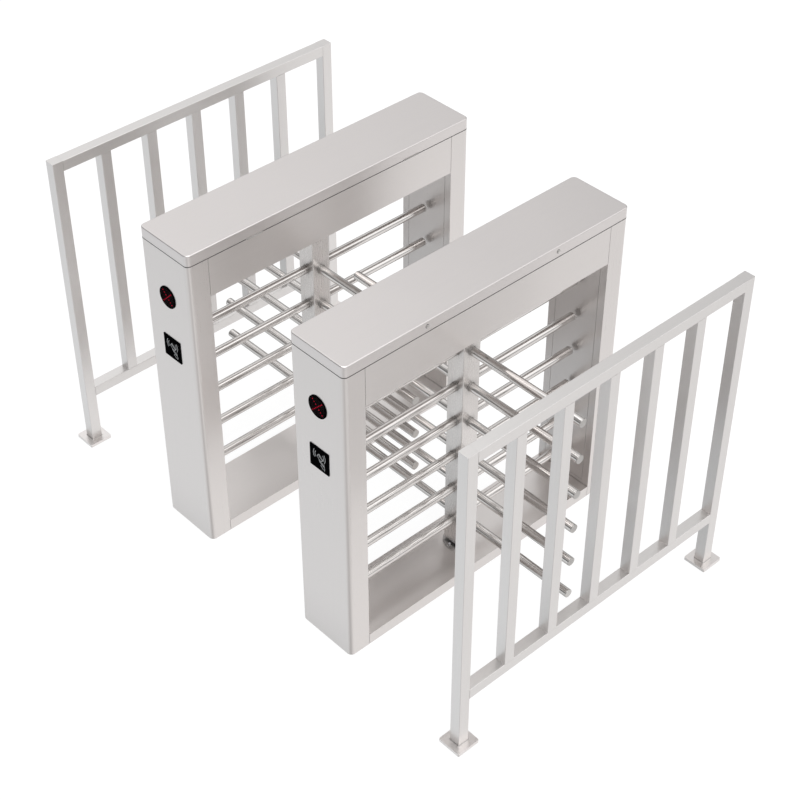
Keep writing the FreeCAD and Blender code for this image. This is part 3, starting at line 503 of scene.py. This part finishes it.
# ------------------------------------------------------------------ direction indicators
for side, sx, cx in SIDES:
    for end, sy in ENDS:
        at = frame_at((cx, sy * 752.0, 1232.0), (0, sy, 0))
        tag = "%s_%s_indicator" % (side, end)
        bm = bmesh.new()
        lathe(bm, [(46.0, 0.0), (50.0, 0.0), (50.0, 0.5), (49.2, 1.1), (47.4, 1.25), (46.3, 0.8), (46.0, 0.25)], at, 72, loop=True)
        piece(tag + "_bezel", bm, "bezel", "fixed_frame")
        lit, dim = bmesh.new(), bmesh.new()
        pitch = 8.6
        for i in range(-7, 8):
            for j in range(-7, 8):
                u, v = i * pitch, j * pitch
                if math.hypot(u, v) > 43.5:
                    continue
                on = abs(abs(i) - abs(j)) == 0 and math.hypot(u, v) < 38
                p = at @ Matrix.Translation((u, v, 0))
                lathe(lit if on else dim, [(2.5, 0.0), (2.5, 0.35), (2.1, 0.85), (1.2, 1.15), (0, 1.25)], p, 12)
        piece(tag + "_lamps_lit", lit, "led_on", "fixed_frame")
        piece(tag + "_lamps_unlit", dim, "led_off", "fixed_frame")

# ------------------------------------------------------------------ card readers
for side, sx, cx in SIDES:
    for end, sy in ENDS:
        at = frame_at((cx, sy * 752.0, 976.0), (0, sy, 0))
        tag = "%s_%s_reader" % (side, end)
        bm = bmesh.new()
        slab(bm, rect(107.4, 107.4, 1.6), 0.0, 0.7, at, r=0.3, holes=(rect(104.2, 104.2, 0.8),))
        piece(tag + "_frame", bm, "bezel", "fixed_frame")
        bm = bmesh.new()
        # generic contactless mark: waves on both sides, a card, and the fingers that hold it
        for r0, half, a in ((24.5, 1.35, 0), (34.0, 1.35, 0), (24.5, 1.35, 180), (34.0, 1.35, 180)):
            pts = arc(0, 16, r0 + half, a - 36, a + 36, 16) + arc(0, 16, r0 - half, a + 36, a - 36, 16)
            slab(bm, pts, 0.0, 0.3, at)
        slab(bm, rect(31, 21, 2.6, 3.5, 8.5, -38), 0.0, 0.3, at, holes=(rect(25.8, 15.8, 1.2, 3.5, 8.5, -38),))
        slab(bm, rect(26.0, 3.0, 0.4, 5.6, 11.0, -38), 0.0, 0.3, at)
        for fx, fy, fl in ((3.0, -9.0, 17), (10.5, -14.0, 21), (17.5, -17.5, 19)):
            slab(bm, rect(6.6, fl, 3.2, fx, fy, 38), 0.0, 0.3, at, holes=(rect(2.2, fl - 4.4, 1.0, fx, fy, 38),))
        slab(bm, rect(2.7, 19, 1.3, 26.5, -20, 12), 0.0, 0.3, at)
        slab(bm, rect(2.7, 22, 1.3, 14.5, -33, 52), 0.0, 0.3, at)
        slab(bm, rect(2.7, 14, 1.3, 29.0, -36, -14), 0.0, 0.3, at)
        piece(tag + "_symbol", bm, "print", "fixed_frame")

# ------------------------------------------------------------------ lid locks
for side, sx, cx in SIDES:
    ring = bmesh.new()
    for end, sy in ENDS:
        at = frame_at((cx + sx * 151.0, sy * 345.0, 1476.0), (sx, 0, 0))
        bm = bmesh.new()
        seg = 32
        slab(bm, arc(0, 0, 6.7, 0, 360 - 360 / seg, seg - 1), 0.0, 0.6, at, r=0.3, holes=(rect(1.5, 7.6, 0.5),))
        slab(bm, rect(1.9, 8.2, 0.4), 0.0, 0.12, at, mat=1)
        piece("%s_%s_lock_face" % (side, end), bm, ("lock", "bezel"), side + "_" + end + "_lock")
        at = frame_at((cx + sx * 150.0, sy * 345.0, 1476.0), (sx, 0, 0))
        lathe(ring, [(7.12, 0.0), (8.6, 0.0), (8.5, 0.4), (7.6, 0.6), (7.12, 0.5)], at, 40, loop=True)
    # black ring round each lock face: painted shade of the recess around the lock
    piece(side + "_lock_rings", ring, "blackbolt", side + "_lid_cover")

# ------------------------------------------------------------------ rotor details
LEVELS = {"left": (-2, -1, 0, 1, 2), "right": (-2.5, -1.5, -0.5, 0.5, 1.5, 2.5)}
for side, sx, cx in SIDES:
    bm = bmesh.new()
    for k in LEVELS[side]:
        z = 660 + 182 * k
        for n, d in enumerate(((1, 0), (0, 1), (-1, 0), (0, -1))):
            at = frame_at((cx + 45 * d[0], 45 * d[1], z), (d[0], d[1], 0))
            ph = 1.7 * n + 0.9 * k
            ripple = lambda i, a, ph=ph: ((0.0, 0.0) if i in (0, 1) else (0.12 * math.sin(46 * a + ph), 0.10 * math.cos(46 * a + ph)))
            lathe(bm, [(19.02, 0.0), (21.0, 0.0), (20.6, 0.4), (20.0, 1.0), (19.5, 1.7), (19.02, 2.4)], at, 92, loop=True, wobble=ripple)
    # the darker weld material also paints the shade at the tube roots
    piece(side + "_wing_weld_beads", bm, "weld", side + "_rotor", angle=60)

    bm = bmesh.new()
    # slotted shaft nut and washer over the locking disc
    nut = [(25 * math.cos(a), 25 * math.sin(a)) for a in [2 * PI * j / 48 for j in range(48)]]
    out = []
    for j, (x, y) in enumerate(nut):
        k = 21.5 / 25 if j % 12 in (0, 1) else 1.0
        out.append((x * k, y * k))
    hole = arc(0, 0, 17.55, 0, 360 - 360 / 40, 39)
    slab(bm, out, 1366.4, 1376.0, Matrix.Translation((cx, 0, 0)), r=0.6, holes=(hole,))
    lathe(bm, [(17.55, 1364.02), (27.5, 1364.02), (27.5, 1366.2), (17.55, 1366.2)], Matrix.Translation((cx, 0, 0)), 48, loop=True)
    piece(side + "_shaft_nut", bm, "blackbolt", side + "_rotor")

    bm = bmesh.new()
    for j in range(6):
        a = PI / 6 + PI / 3 * j
        cap_screw(bm, Matrix.Translation((cx + 54 * math.cos(a), 54 * math.sin(a), 62.0)), 6.5, 4.5)
    for j in range(4):
        a = PI / 4 + PI / 2 * j
        cap_screw(bm, Matrix.Translation((cx + 44 * math.cos(a), 44 * math.sin(a), 1304.0)), 6.0, 6.0)
    for x in (-118, 118):
        for y in (-136, 106):
            cap_screw(bm, Matrix.Translation((cx + x, y, 1294.0)), 7.0, 7.0)
    piece(side + "_bearing_screws", bm, "bolt", "fixed_frame")

    bm = bmesh.new()
    lathe(bm, [(23.6, 70.02), (28.6, 70.02), (28.3, 70.7), (27.2, 71.1), (25.0, 71.0), (23.6, 71.5)], Matrix.Translation((cx, 0, 0)), 56, loop=True)
    piece(side + "_shaft_seal", bm, "rubber", "fixed_frame")

# ------------------------------------------------------------------ lid gasket (black strip, painted seam shadow) and lid stiffener
for side, sx, cx in SIDES:
    # flat black strip nearly flush with the walls, cut at the rubber buffers and at the hinges; partly a seal, partly
    # painted shadow in the lid seam
    bm = bmesh.new()
    low, high, out, inn = 1448.02, 1449.85, 149.3, 145.0
    for s in (-1, 1):
        runs = ((-728, -706), (-694, 694), (706, 728))
        if s == -sx:
            runs = ((-728, -706), (-694, -461.5), (-378.5, 378.5), (461.5, 694), (706, 728))
        for a, b in runs:
            x = sorted((cx + s * inn, cx + s * out))
            block(bm, (x[0], a, low), (x[1], b, high), r=0.5)
        y = sorted((s * (inn + 600), s * (out + 600)))
        block(bm, (cx - 128, y[0], low), (cx + 128, y[1], high), r=0.5)
        for e, a0 in ((1, 0 if s > 0 else 90), (-1, 270 if s > 0 else 180)):
            px, py = cx + s * 128, e * 728
            slab(bm, arc(px, py, 21.3, a0, a0 + 90, 10) + arc(px, py, 17.0, a0 + 90, a0, 10), low, high)
    # outer black lip that closes the seam, also painted seam shadow; on the hinge side it stays below the lid
    for s in (-1, 1):
        lip = (1447.0, 1449.95) if s == -sx else (1447.5, 1450.6)
        runs = ((-728, -461.5), (-378.5, 378.5), (461.5, 728)) if s == -sx else ((-728, 728),)
        for a, b in runs:
            x = sorted((cx + s * 150.08, cx + s * 150.42))
            block(bm, (x[0], a, lip[0]), (x[1], b, lip[1]), r=0.15, seg=1)
        y = sorted((s * 750.08, s * 750.42))
        block(bm, (cx - 128, y[0], 1447.5), (cx + 128, y[1], 1450.6), r=0.15, seg=1)
        for e, a0 in ((1, 0 if s > 0 else 90), (-1, 270 if s > 0 else 180)):
            px, py = cx + s * 128, e * 728
            slab(bm, arc(px, py, 22.42, a0, a0 + 90, 12) + arc(px, py, 22.08, a0 + 90, a0, 12), *lip)
    piece(side + "_lid_gasket", bm, "gasket", "fixed_frame")

    bm = bmesh.new()
    hat = [(-46, 0), (-46, -2), (-26, -2), (-24, -14), (24, -14), (26, -2), (46, -2), (46, 0), (28, 0), (25.4, -12), (-25.4, -12), (-28, 0)]
    at = frame_at((cx, -560, 1497.98), (0, 1, 0))
    slab(bm, [(-x, y) for x, y in reversed(hat)], 0.0, 1120.0, at)
    for y in range(-500, 501, 125):
        for x in (-37, 37):
            lathe(bm, [(0, -1.2), (2.2, -1.0), (3.2, -0.4), (3.4, 0.0), (0, 0)], Matrix.Translation((cx + x, y, 1495.98)), 16)
    piece(side + "_lid_stiffener", bm, "sheet_y", side + "_lid_cover")

# ------------------------------------------------------------------ inside the beams
for side, sx, cx in SIDES:
    base = Matrix.Translation((cx, 0, 0))
    # solenoid yokes, terminals, mounting screws
    yoke, tabs = bmesh.new(), bmesh.new()
    for s in (1, -1):
        for x0, x1 in ((28.2, 30.0), (98.0, 99.8)):
            at = frame_at((cx + s * (x0 if s > 0 else x1), -110, 1340), (1, 0, 0))
            slab(yoke, rect(43, 43, 2.5), 0.0, 1.8, at, holes=(arc(0, 0, 7.4, 0, 345, 23),))
        for y in (-131.6, -90.0):
            block(yoke, (cx + min(s * 30.0, s * 98.0), y, 1321.0), (cx + max(s * 30.0, s * 98.0), y + 1.6, 1331.0), r=0.3)
        for y in (-117, -103):
            block(tabs, (cx + s * 40 - 3, y - 0.4, 1360.0), (cx + s * 40 + 3, y + 0.4, 1367.0), r=0.2)
        for x in (50, 78):
            for y in (-122.5, -97.5):
                pan_screw(tabs, Matrix.Translation((cx + s * x, y, 1360.0)), 2.6, 1.8)
    piece(side + "_solenoid_yokes", yoke, "bolt", "fixed_frame")
    piece(side + "_solenoid_tabs", tabs, "brass", "fixed_frame")

    # damper and encoder: flange, cover screws, grip ribs
    bm, black = bmesh.new(), bmesh.new()
    for radius, r, angle in ((96.15, 28.0, 37.5), (108.15, 24.0, 142.5)):
        x, y = radius * math.cos(math.radians(angle)), radius * math.sin(math.radians(angle))
        at = Matrix.Translation((cx + x, y, 0))
        lathe(black, [(r + 0.02, 1294.02), (r + 3.6, 1294.02), (r + 3.6, 1297.2), (r + 2.8, 1298.0), (r + 0.02, 1298.0)], at, 48, loop=True)
        for j in range(24):
            a = 2 * PI * j / 24
            rib = at @ Matrix.Rotation(a, 4, "Z")
            block(black, (r - 0.2, -0.9, 1300.0), (r + 0.7, 0.9, 1316.5), rib, r=0.3, seg=1)
        for j in range(4):
            a = PI / 4 + PI / 2 * j
            pan_screw(bm, at @ Matrix.Translation(((r - 5) * math.cos(a), (r - 5) * math.sin(a), 1320.0)), 2.1, 1.4)
    piece(side + "_damper_encoder_shells", black, "case", "fixed_frame")
    piece(side + "_cover_screws", bm, "bolt", "fixed_frame")

    # circuit board parts
    floor = 1271.0
    relay, term, cream, can, chip, pins, brass = (bmesh.new() for _ in range(7))
    for y in (300, 345):
        block(relay, (19.6, y - 0.4, floor + 14.0), (52.4, y + 30.4, floor + 30.5), base, r=1.2)
    block(term, (-62.4, 289.5, floor + 14.0), (-39.6, 420.5, floor + 26.5), base, r=0.8)
    for j in range(13):
        y = 295 + 10 * j
        lathe(brass, [(0, 0.5), (2.2, 0.5), (2.9, 0.2), (2.9, -0.2), (0, -0.2)], base @ Matrix.Translation((-53.5, y, floor + 26.6)), 14)
        block(chip, (-40.1, y - 2.6, floor + 16), (-39.0, y + 2.6, floor + 21), base, r=0.2, seg=1)
    block(cream, (19.6, 391.6, floor + 14.0), (60.4, 424.4, floor + 20.5), base, r=0.7)
    for j in range(8):
        block(brass, (24 + 4.4 * j, 399, floor + 20.4), (25 + 4.4 * j, 400, floor + 24.5), base, r=0.15, seg=1)
        block(brass, (24 + 4.4 * j, 410, floor + 20.4), (25 + 4.4 * j, 411, floor + 24.5), base, r=0.15, seg=1)
    block(chip, (-20.4, 349.6, floor + 14.6), (6.4, 376.4, floor + 17.4), base, r=0.5)
    for j in range(16):
        for x0, x1 in ((-23.2, -20.2), (6.2, 9.2)):
            block(pins, (x0, 351.6 + 1.5 * j, floor + 14.05), (x1, 352.3 + 1.5 * j, floor + 14.9), base, r=0.12, seg=1)
        for y0, y1 in ((346.8, 349.8), (376.2, 379.2)):
            block(pins, (-18.2 + 1.5 * j, y0, floor + 14.05), (-17.5 + 1.5 * j, y1, floor + 14.9), base, r=0.12, seg=1)
    for x, y, r, h in ((-8, 300, 6.3, 16), (7, 300, 6.3, 16), (-8, 318, 5, 12), (6, 318, 5, 12), (-12, 410, 4, 9), (2, 410, 4, 9)):
        lathe(can, [(0, 0), (r, 0), (r, h * 0.1), (r * 0.95, h * 0.14), (r, h * 0.18), (r, h - 0.8), (r - 0.8, h), (r * 0.6, h), (r * 0.55, h - 0.3), (0, h - 0.3)],
              base @ Matrix.Translation((x, y, floor + 14.0)), 28)
    for j in range(9):
        block(chip, (-32 + 0.2, 296 + 8 * j, floor + 14.02), (-28, 298 + 8 * j, floor + 14.9), base, r=0.2, seg=1)
        block(cream, (-33.0, 296 + 8 * j, floor + 14.02), (-32.0, 298 + 8 * j, floor + 14.85), base, r=0.15, seg=1)
    for x in (-60, 60):
        for y in (280, 430):
            pan_screw(pins, base @ Matrix.Translation((x, y, floor + 14.0)), 3.4, 2.2)
    for bmx, nm, key in ((relay, "relays", "relay"), (term, "terminal_strip", "terminal"), (cream, "connectors", "cream"), (can, "capacitors", "can"),
                         (chip, "chips", "case"), (pins, "chip_pins", "bolt"), (brass, "terminal_screws", "brass")):
        piece(side + "_board_" + nm, bmx, key, "fixed_frame")

    # power supply: vent slots, lid screws, terminal row
    bm, black, brass = bmesh.new(), bmesh.new(), bmesh.new()
    for i in range(3):
        for j in range(16):
            y = -448 + 10.5 * j
            x = -34 + 25 * i
            slab(black, rect(18, 3.2, 1.5, x + 9, y), floor + 42.0, floor + 42.12, base)
    block(black, (-46, -283, floor + 42.0), (46, -263, floor + 49.0), base, r=0.8)
    for j in range(9):
        x = -40 + 10 * j
        lathe(brass, [(0, 0.6), (2.4, 0.6), (3.2, 0.2), (3.2, -0.2), (0, -0.2)], base @ Matrix.Translation((x, -273, floor + 49.1)), 14)
    for x in (-43, 43):
        for y in (-468, -252):
            pan_screw(bm, base @ Matrix.Translation((x, y, floor + 3.0)), 4.0, 2.6)
    for x in (-52.0, 52.0):
        for y in (-440, -300):
            pan_screw(bm, frame_at((cx + x, y, floor + 30), (1 if x > 0 else -1, 0, 0)), 2.6, 1.4)
    piece(side + "_supply_vents_terminals", black, "case", "fixed_frame")
    piece(side + "_supply_terminal_screws", brass, "brass", "fixed_frame")
    piece(side + "_supply_screws", bm, "bolt", "fixed_frame")

    # cable looms, following the beam floor and walls, clear of the rotor
    colours = (("wire_k", []), ("wire_r", []), ("wire_b", []), ("wire_y", []))
    runs = {
        "wire_k": [
            ([(-66, 420, 1290), (-92, 455, 1278), (-60, 520, 1277), (-8, 585, 1310), (0, 630, 1352), (0, 668, 1360), (0, 690, 1335), (0, 700, 1250)], 3.6),
            ([(-66, 300, 1290), (-100, 262, 1277), (-141, 190, 1276), (-141.5, 0, 1276), (-141.5, -230, 1276), (-120, -480, 1277), (-20, -585, 1308), (0, -630, 1352), (0, -668, 1360), (0, -690, 1335), (0, -700, 1250)], 3.6),
            ([(-100.5, 66, 1306), (-122, 70, 1300), (-141, 90, 1284), (-141, 160, 1282.8), (-104, 250, 1283), (-66, 310, 1293)], 2.4),
        ],
        "wire_r": [
            ([(-30, -262, 1318), (-30, -240, 1312), (-70, -205, 1280), (-138, -170, 1284), (-139.5, 0, 1284), (-136, 180, 1284), (-90, 285, 1285), (-64, 330, 1292)], 1.7),
            ([(40, -103, 1366), (44, -122, 1376), (50, -145, 1373), (126, -136, 1355), (139.5, -119, 1310), (141.5, -60, 1280), (141.5, 180, 1277), (80, 470, 1277), (-40, 458, 1280), (-66, 390, 1291)], 1.5),
        ],
        "wire_b": [
            ([(-20, -262, 1318), (-20, -238, 1310), (-66, -200, 1277), (-135, -168, 1279.5), (-137.5, 0, 1280), (-133, 184, 1280), (-88, 290, 1281), (-64, 340, 1291)], 1.7),
            ([(-40, -103, 1366), (-44, -122, 1376), (-50, -145, 1373), (-127, -137, 1355), (-141, -119, 1312), (-143, -60, 1290), (-143, 170, 1287), (-100, 280, 1287), (-64, 350, 1292)], 1.5),
        ],
        "wire_y": [
            ([(-40, -262, 1318), (-40, -242, 1308), (-74, -214, 1276), (-60, -226, 1275), (-96, -250, 1275)], 1.7),
            ([(40, -117, 1366), (48, -150, 1368), (130, -140, 1350), (143, -122, 1308), (144, -60, 1276), (144, 180, 1275.5), (84, 476, 1275.5), (-44, 464, 1277), (-66, 400, 1290)], 1.5),
        ],
    }
    for key, paths in runs.items():
        bm = bmesh.new()
        for pts, r in paths:
            sweep(bm, [p + Vector((cx, 0, 0)) for p in smooth_path(pts)], r)
        piece("%s_%s" % (side, key.replace("wire_k", "cables_black").replace("wire_r", "cables_red").replace("wire_b", "cables_blue").replace("wire_y", "cables_yellow")),
              bm, key, "fixed_frame", angle=60)
    bm = bmesh.new()
    for y in (-180, -60, 60, 150):
        at = frame_at((cx - 140.6, y, 1280.2), (0, 1, 0))
        slab(bm, rect(11, 14.5, 4), -1.6, 1.6, at, holes=(rect(9.4, 12.9, 3.4),))
    piece(side + "_cable_ties", bm, "tie", "fixed_frame")
    bm = bmesh.new()
    for sy in (-1, 1):
        at = frame_at((cx, sy * 646.5, 1360), (0, sy, 0))
        lathe(bm, [(26, -2.0), (33, -2.0), (33.4, -1.0), (33, 0.0), (29.9, 0.0), (29.9, 1.9), (26, 1.9)], at, 48, loop=True)
    piece(side + "_cable_grommets", bm, "rubber", "fixed_frame")

# ------------------------------------------------------------------ railing weld beads
bm = bmesh.new()
for x in (-1209.5, 1209.5):
    for y in (-731, 719):
        ring = [rect(s, s, r, x, y) for s, r in ((50.02, 2.5), (55.5, 5.2), (53.2, 4.1))]
        part = bmesh.new()
        rows = []
        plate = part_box("railing_base_plates")[1].z * 1000
        for outline, h in ((ring[1], plate + 0.01), (ring[2], plate + 1.2), (ring[0], plate + 3.4), (ring[0], plate + 0.01)):
            rows.append([part.verts.new((px, py, h)) for px, py in outline])
        n = len(rows[0])
        for a, b in zip(rows, rows[1:] + [rows[0]]):
            for k in range(n):
                part.faces.new((a[k], a[(k + 1) % n], b[(k + 1) % n], b[k]))
        merge(bm, part, Matrix(), 0)
piece("railing_foot_weld_beads", bm, "weld_foot", "fixed_frame", angle=60)

# ------------------------------------------------------------------ floor, light, camera
bm = bmesh.new()
R = 26.0
rings = []
for r in (0.0, 1.5, 3.0, 6.0, 12.0, R):
    rings.append([bm.verts.new((0, 0, 0))] if r == 0 else [bm.verts.new((r * math.cos(2 * PI * k / 64), r * math.sin(2 * PI * k / 64), 0)) for k in range(64)])
for k in range(64):
    bm.faces.new((rings[0][0], rings[1][k], rings[1][(k + 1) % 64]))
for a, b in zip(rings[1:], rings[2:]):
    for k in range(64):
        bm.faces.new((a[k], b[k], b[(k + 1) % 64], a[(k + 1) % 64]))
me = bpy.data.meshes.new("floor")
bm.to_mesh(me)
bm.free()
floor_obj = bpy.data.objects.new("floor", me)
bpy.context.scene.collection.objects.link(floor_obj)
floor_obj.location.z = -0.0012
M = Mat("pale_floor")
tone = M.total(1.0, (M.noise(1.2, 3), 0.012), (M.noise(90, 3), 0.010))
straight = M.n("LightPath", out=0)
# painted bounce light and painted reflection: the floor glows instead of being lit, and what the steel sees of it
# depends on which way it looks: bright towards the right and rear; camera rays see it evenly white
toward = M.n("SeparateXYZ", {0: M.n("NewGeometry", out=4)}).node.outputs
along = M.op("MULTIPLY", M.op("ADD", toward[0], toward[1]), -0.7071)
spot = M.n("SeparateXYZ", {0: M.place()}).node.outputs
near_front = M.op("MULTIPLY", M.fit(spot[1], -2.3, -0.9, 0.79, 1.02), M.fit(spot[1], -0.88, -0.35, 1.0, 0.42))
leftward = M.op("MULTIPLY", M.fit(along, -0.20, -0.60, 0.0, 0.455), near_front)
rightward = M.op("MULTIPLY", M.fit(along, 0.05, 0.60, 0.0, 0.474), M.fit(spot[0], 0.9, 1.6, 1.15, 1.0))
rightward = M.op("MULTIPLY", rightward, M.fit(spot[1], 1.0, 1.9, 1.0, 0.93))
corner = M.fit(M.op("MULTIPLY", M.op("SUBTRACT", toward[1], toward[0]), 0.7071), 0.48, 0.74, 0.0, 0.20)
bounce = M.op("ADD", M.op("ADD", rightward, 0.29), M.op("ADD", leftward, corner))
hue = M.mix(M.fit(along, -0.6, -0.2, 1.0, 0.0), rgba(1.0, 0.99, 0.985), rgba(0.97, 1.0, 1.02))
glow_here = M.n("Mix", {0: straight, 2: bounce, 3: 0.90}, data_type="FLOAT")
shade = M.bsdf(Base_Color=M.tint((0.15, 0.15, 0.15), tone), Roughness=0.9, Specular_IOR_Level=0.0,
               Emission_Color=M.mix(straight, hue, rgba(1, 1, 1)), Emission_Strength=glow_here)
me.materials.append(shade)

world = bpy.data.worlds.new("studio")
bpy.context.scene.world = world
world.use_nodes = True
t = world.node_tree
t.nodes.clear()
W = Mat.__new__(Mat)
W.t = t
way = W.n("SeparateXYZ", {0: W.n("TexCoord", out=0)}).node.outputs
z = way[2]
ramp = t.nodes.new("ShaderNodeValToRGB")
t.links.new(W.fit(z, -1.0, 1.0, 0.0, 1.0), ramp.inputs[0])
stops = [(0.0, 0.75), (0.470, 0.55), (0.497, 0.20), (0.550, 0.18), (0.62, 0.58), (0.72, 0.80), (0.78, 0.84), (0.83, 0.84), (0.89, 0.95), (0.95, 1.08), (1.0, 1.35)]
while len(ramp.color_ramp.elements) > 1:
    ramp.color_ramp.elements.remove(ramp.color_ramp.elements[0])
ramp.color_ramp.elements[0].position = stops[0][0]
ramp.color_ramp.elements[0].color = (stops[0][1],) * 3 + (1,)
for p, v in stops[1:]:
    e = ramp.color_ramp.elements.new(p)
    e.color = (min(v, 1e3),) * 3 + (1,)
# large soft panels to the left of the lanes, and behind them to the right
left = W.op("ADD", W.op("MULTIPLY", way[0], -0.75), W.op("MULTIPLY", W.op("MAXIMUM", way[1], -0.1), -0.70))
left = W.op("MULTIPLY", W.fit(left, -0.7, 0.7, 0.3, 1.62), W.fit(way[1], -0.46, 0.04, 0.31, 1.0))
right_rear = W.fit(W.op("ADD", W.op("MULTIPLY", way[0], 0.95), W.op("MULTIPLY", way[1], 0.15)), -0.15, 0.45, 0.3, 1.6)
lean = W.op("MAXIMUM", left, right_rear)
seen = W.n("LightPath", out=0)
colour = W.mix(seen, W.n("VectorMath", {0: ramp.outputs[0], 3: lean}, operation="SCALE"), rgba(0.97, 0.97, 0.97))
bg = W.n("Background", {"Color": colour, "Strength": 1.0})
t.links.new(bg, t.nodes.new("ShaderNodeOutputWorld").inputs["Surface"])


def softbox(name, at, target, size, power):
    light = bpy.data.lights.new(name, "AREA")
    light.shape = "RECTANGLE"
    light.size, light.size_y = size
    light.energy = power
    o = bpy.data.objects.new(name, light)
    bpy.context.scene.collection.objects.link(o)
    o.location = at
    o.rotation_euler = (Vector(target) - Vector(at)).to_track_quat("-Z", "Y").to_euler()


softbox("overhead", (0.6, -0.8, 5.2), (0, 0, 0.4), (3.2, 3.2), 60)

AZ, EL = math.radians(47.3409), math.radians(40.1629)
back = Vector((math.sin(AZ) * math.cos(EL), -math.cos(AZ) * math.cos(EL), math.sin(EL)))
right = Vector((math.cos(AZ), math.sin(AZ), 0))
up = back.cross(right)
cam = bpy.data.cameras.new("camera")
cam.sensor_width = 36.0
cam.lens = 79.766
cam.clip_end = 100
cam_obj = bpy.data.objects.new("camera", cam)
bpy.context.scene.collection.objects.link(cam_obj)
pose = Matrix((right, up, back)).transposed().to_4x4()
pose.translation = Vector((4.2764, -3.8657, 5.4198))
cam_obj.matrix_world = pose
bpy.context.scene.camera = cam_obj
bpy.context.scene.view_settings.view_transform = "Standard"

bpy.context.view_layer.update()
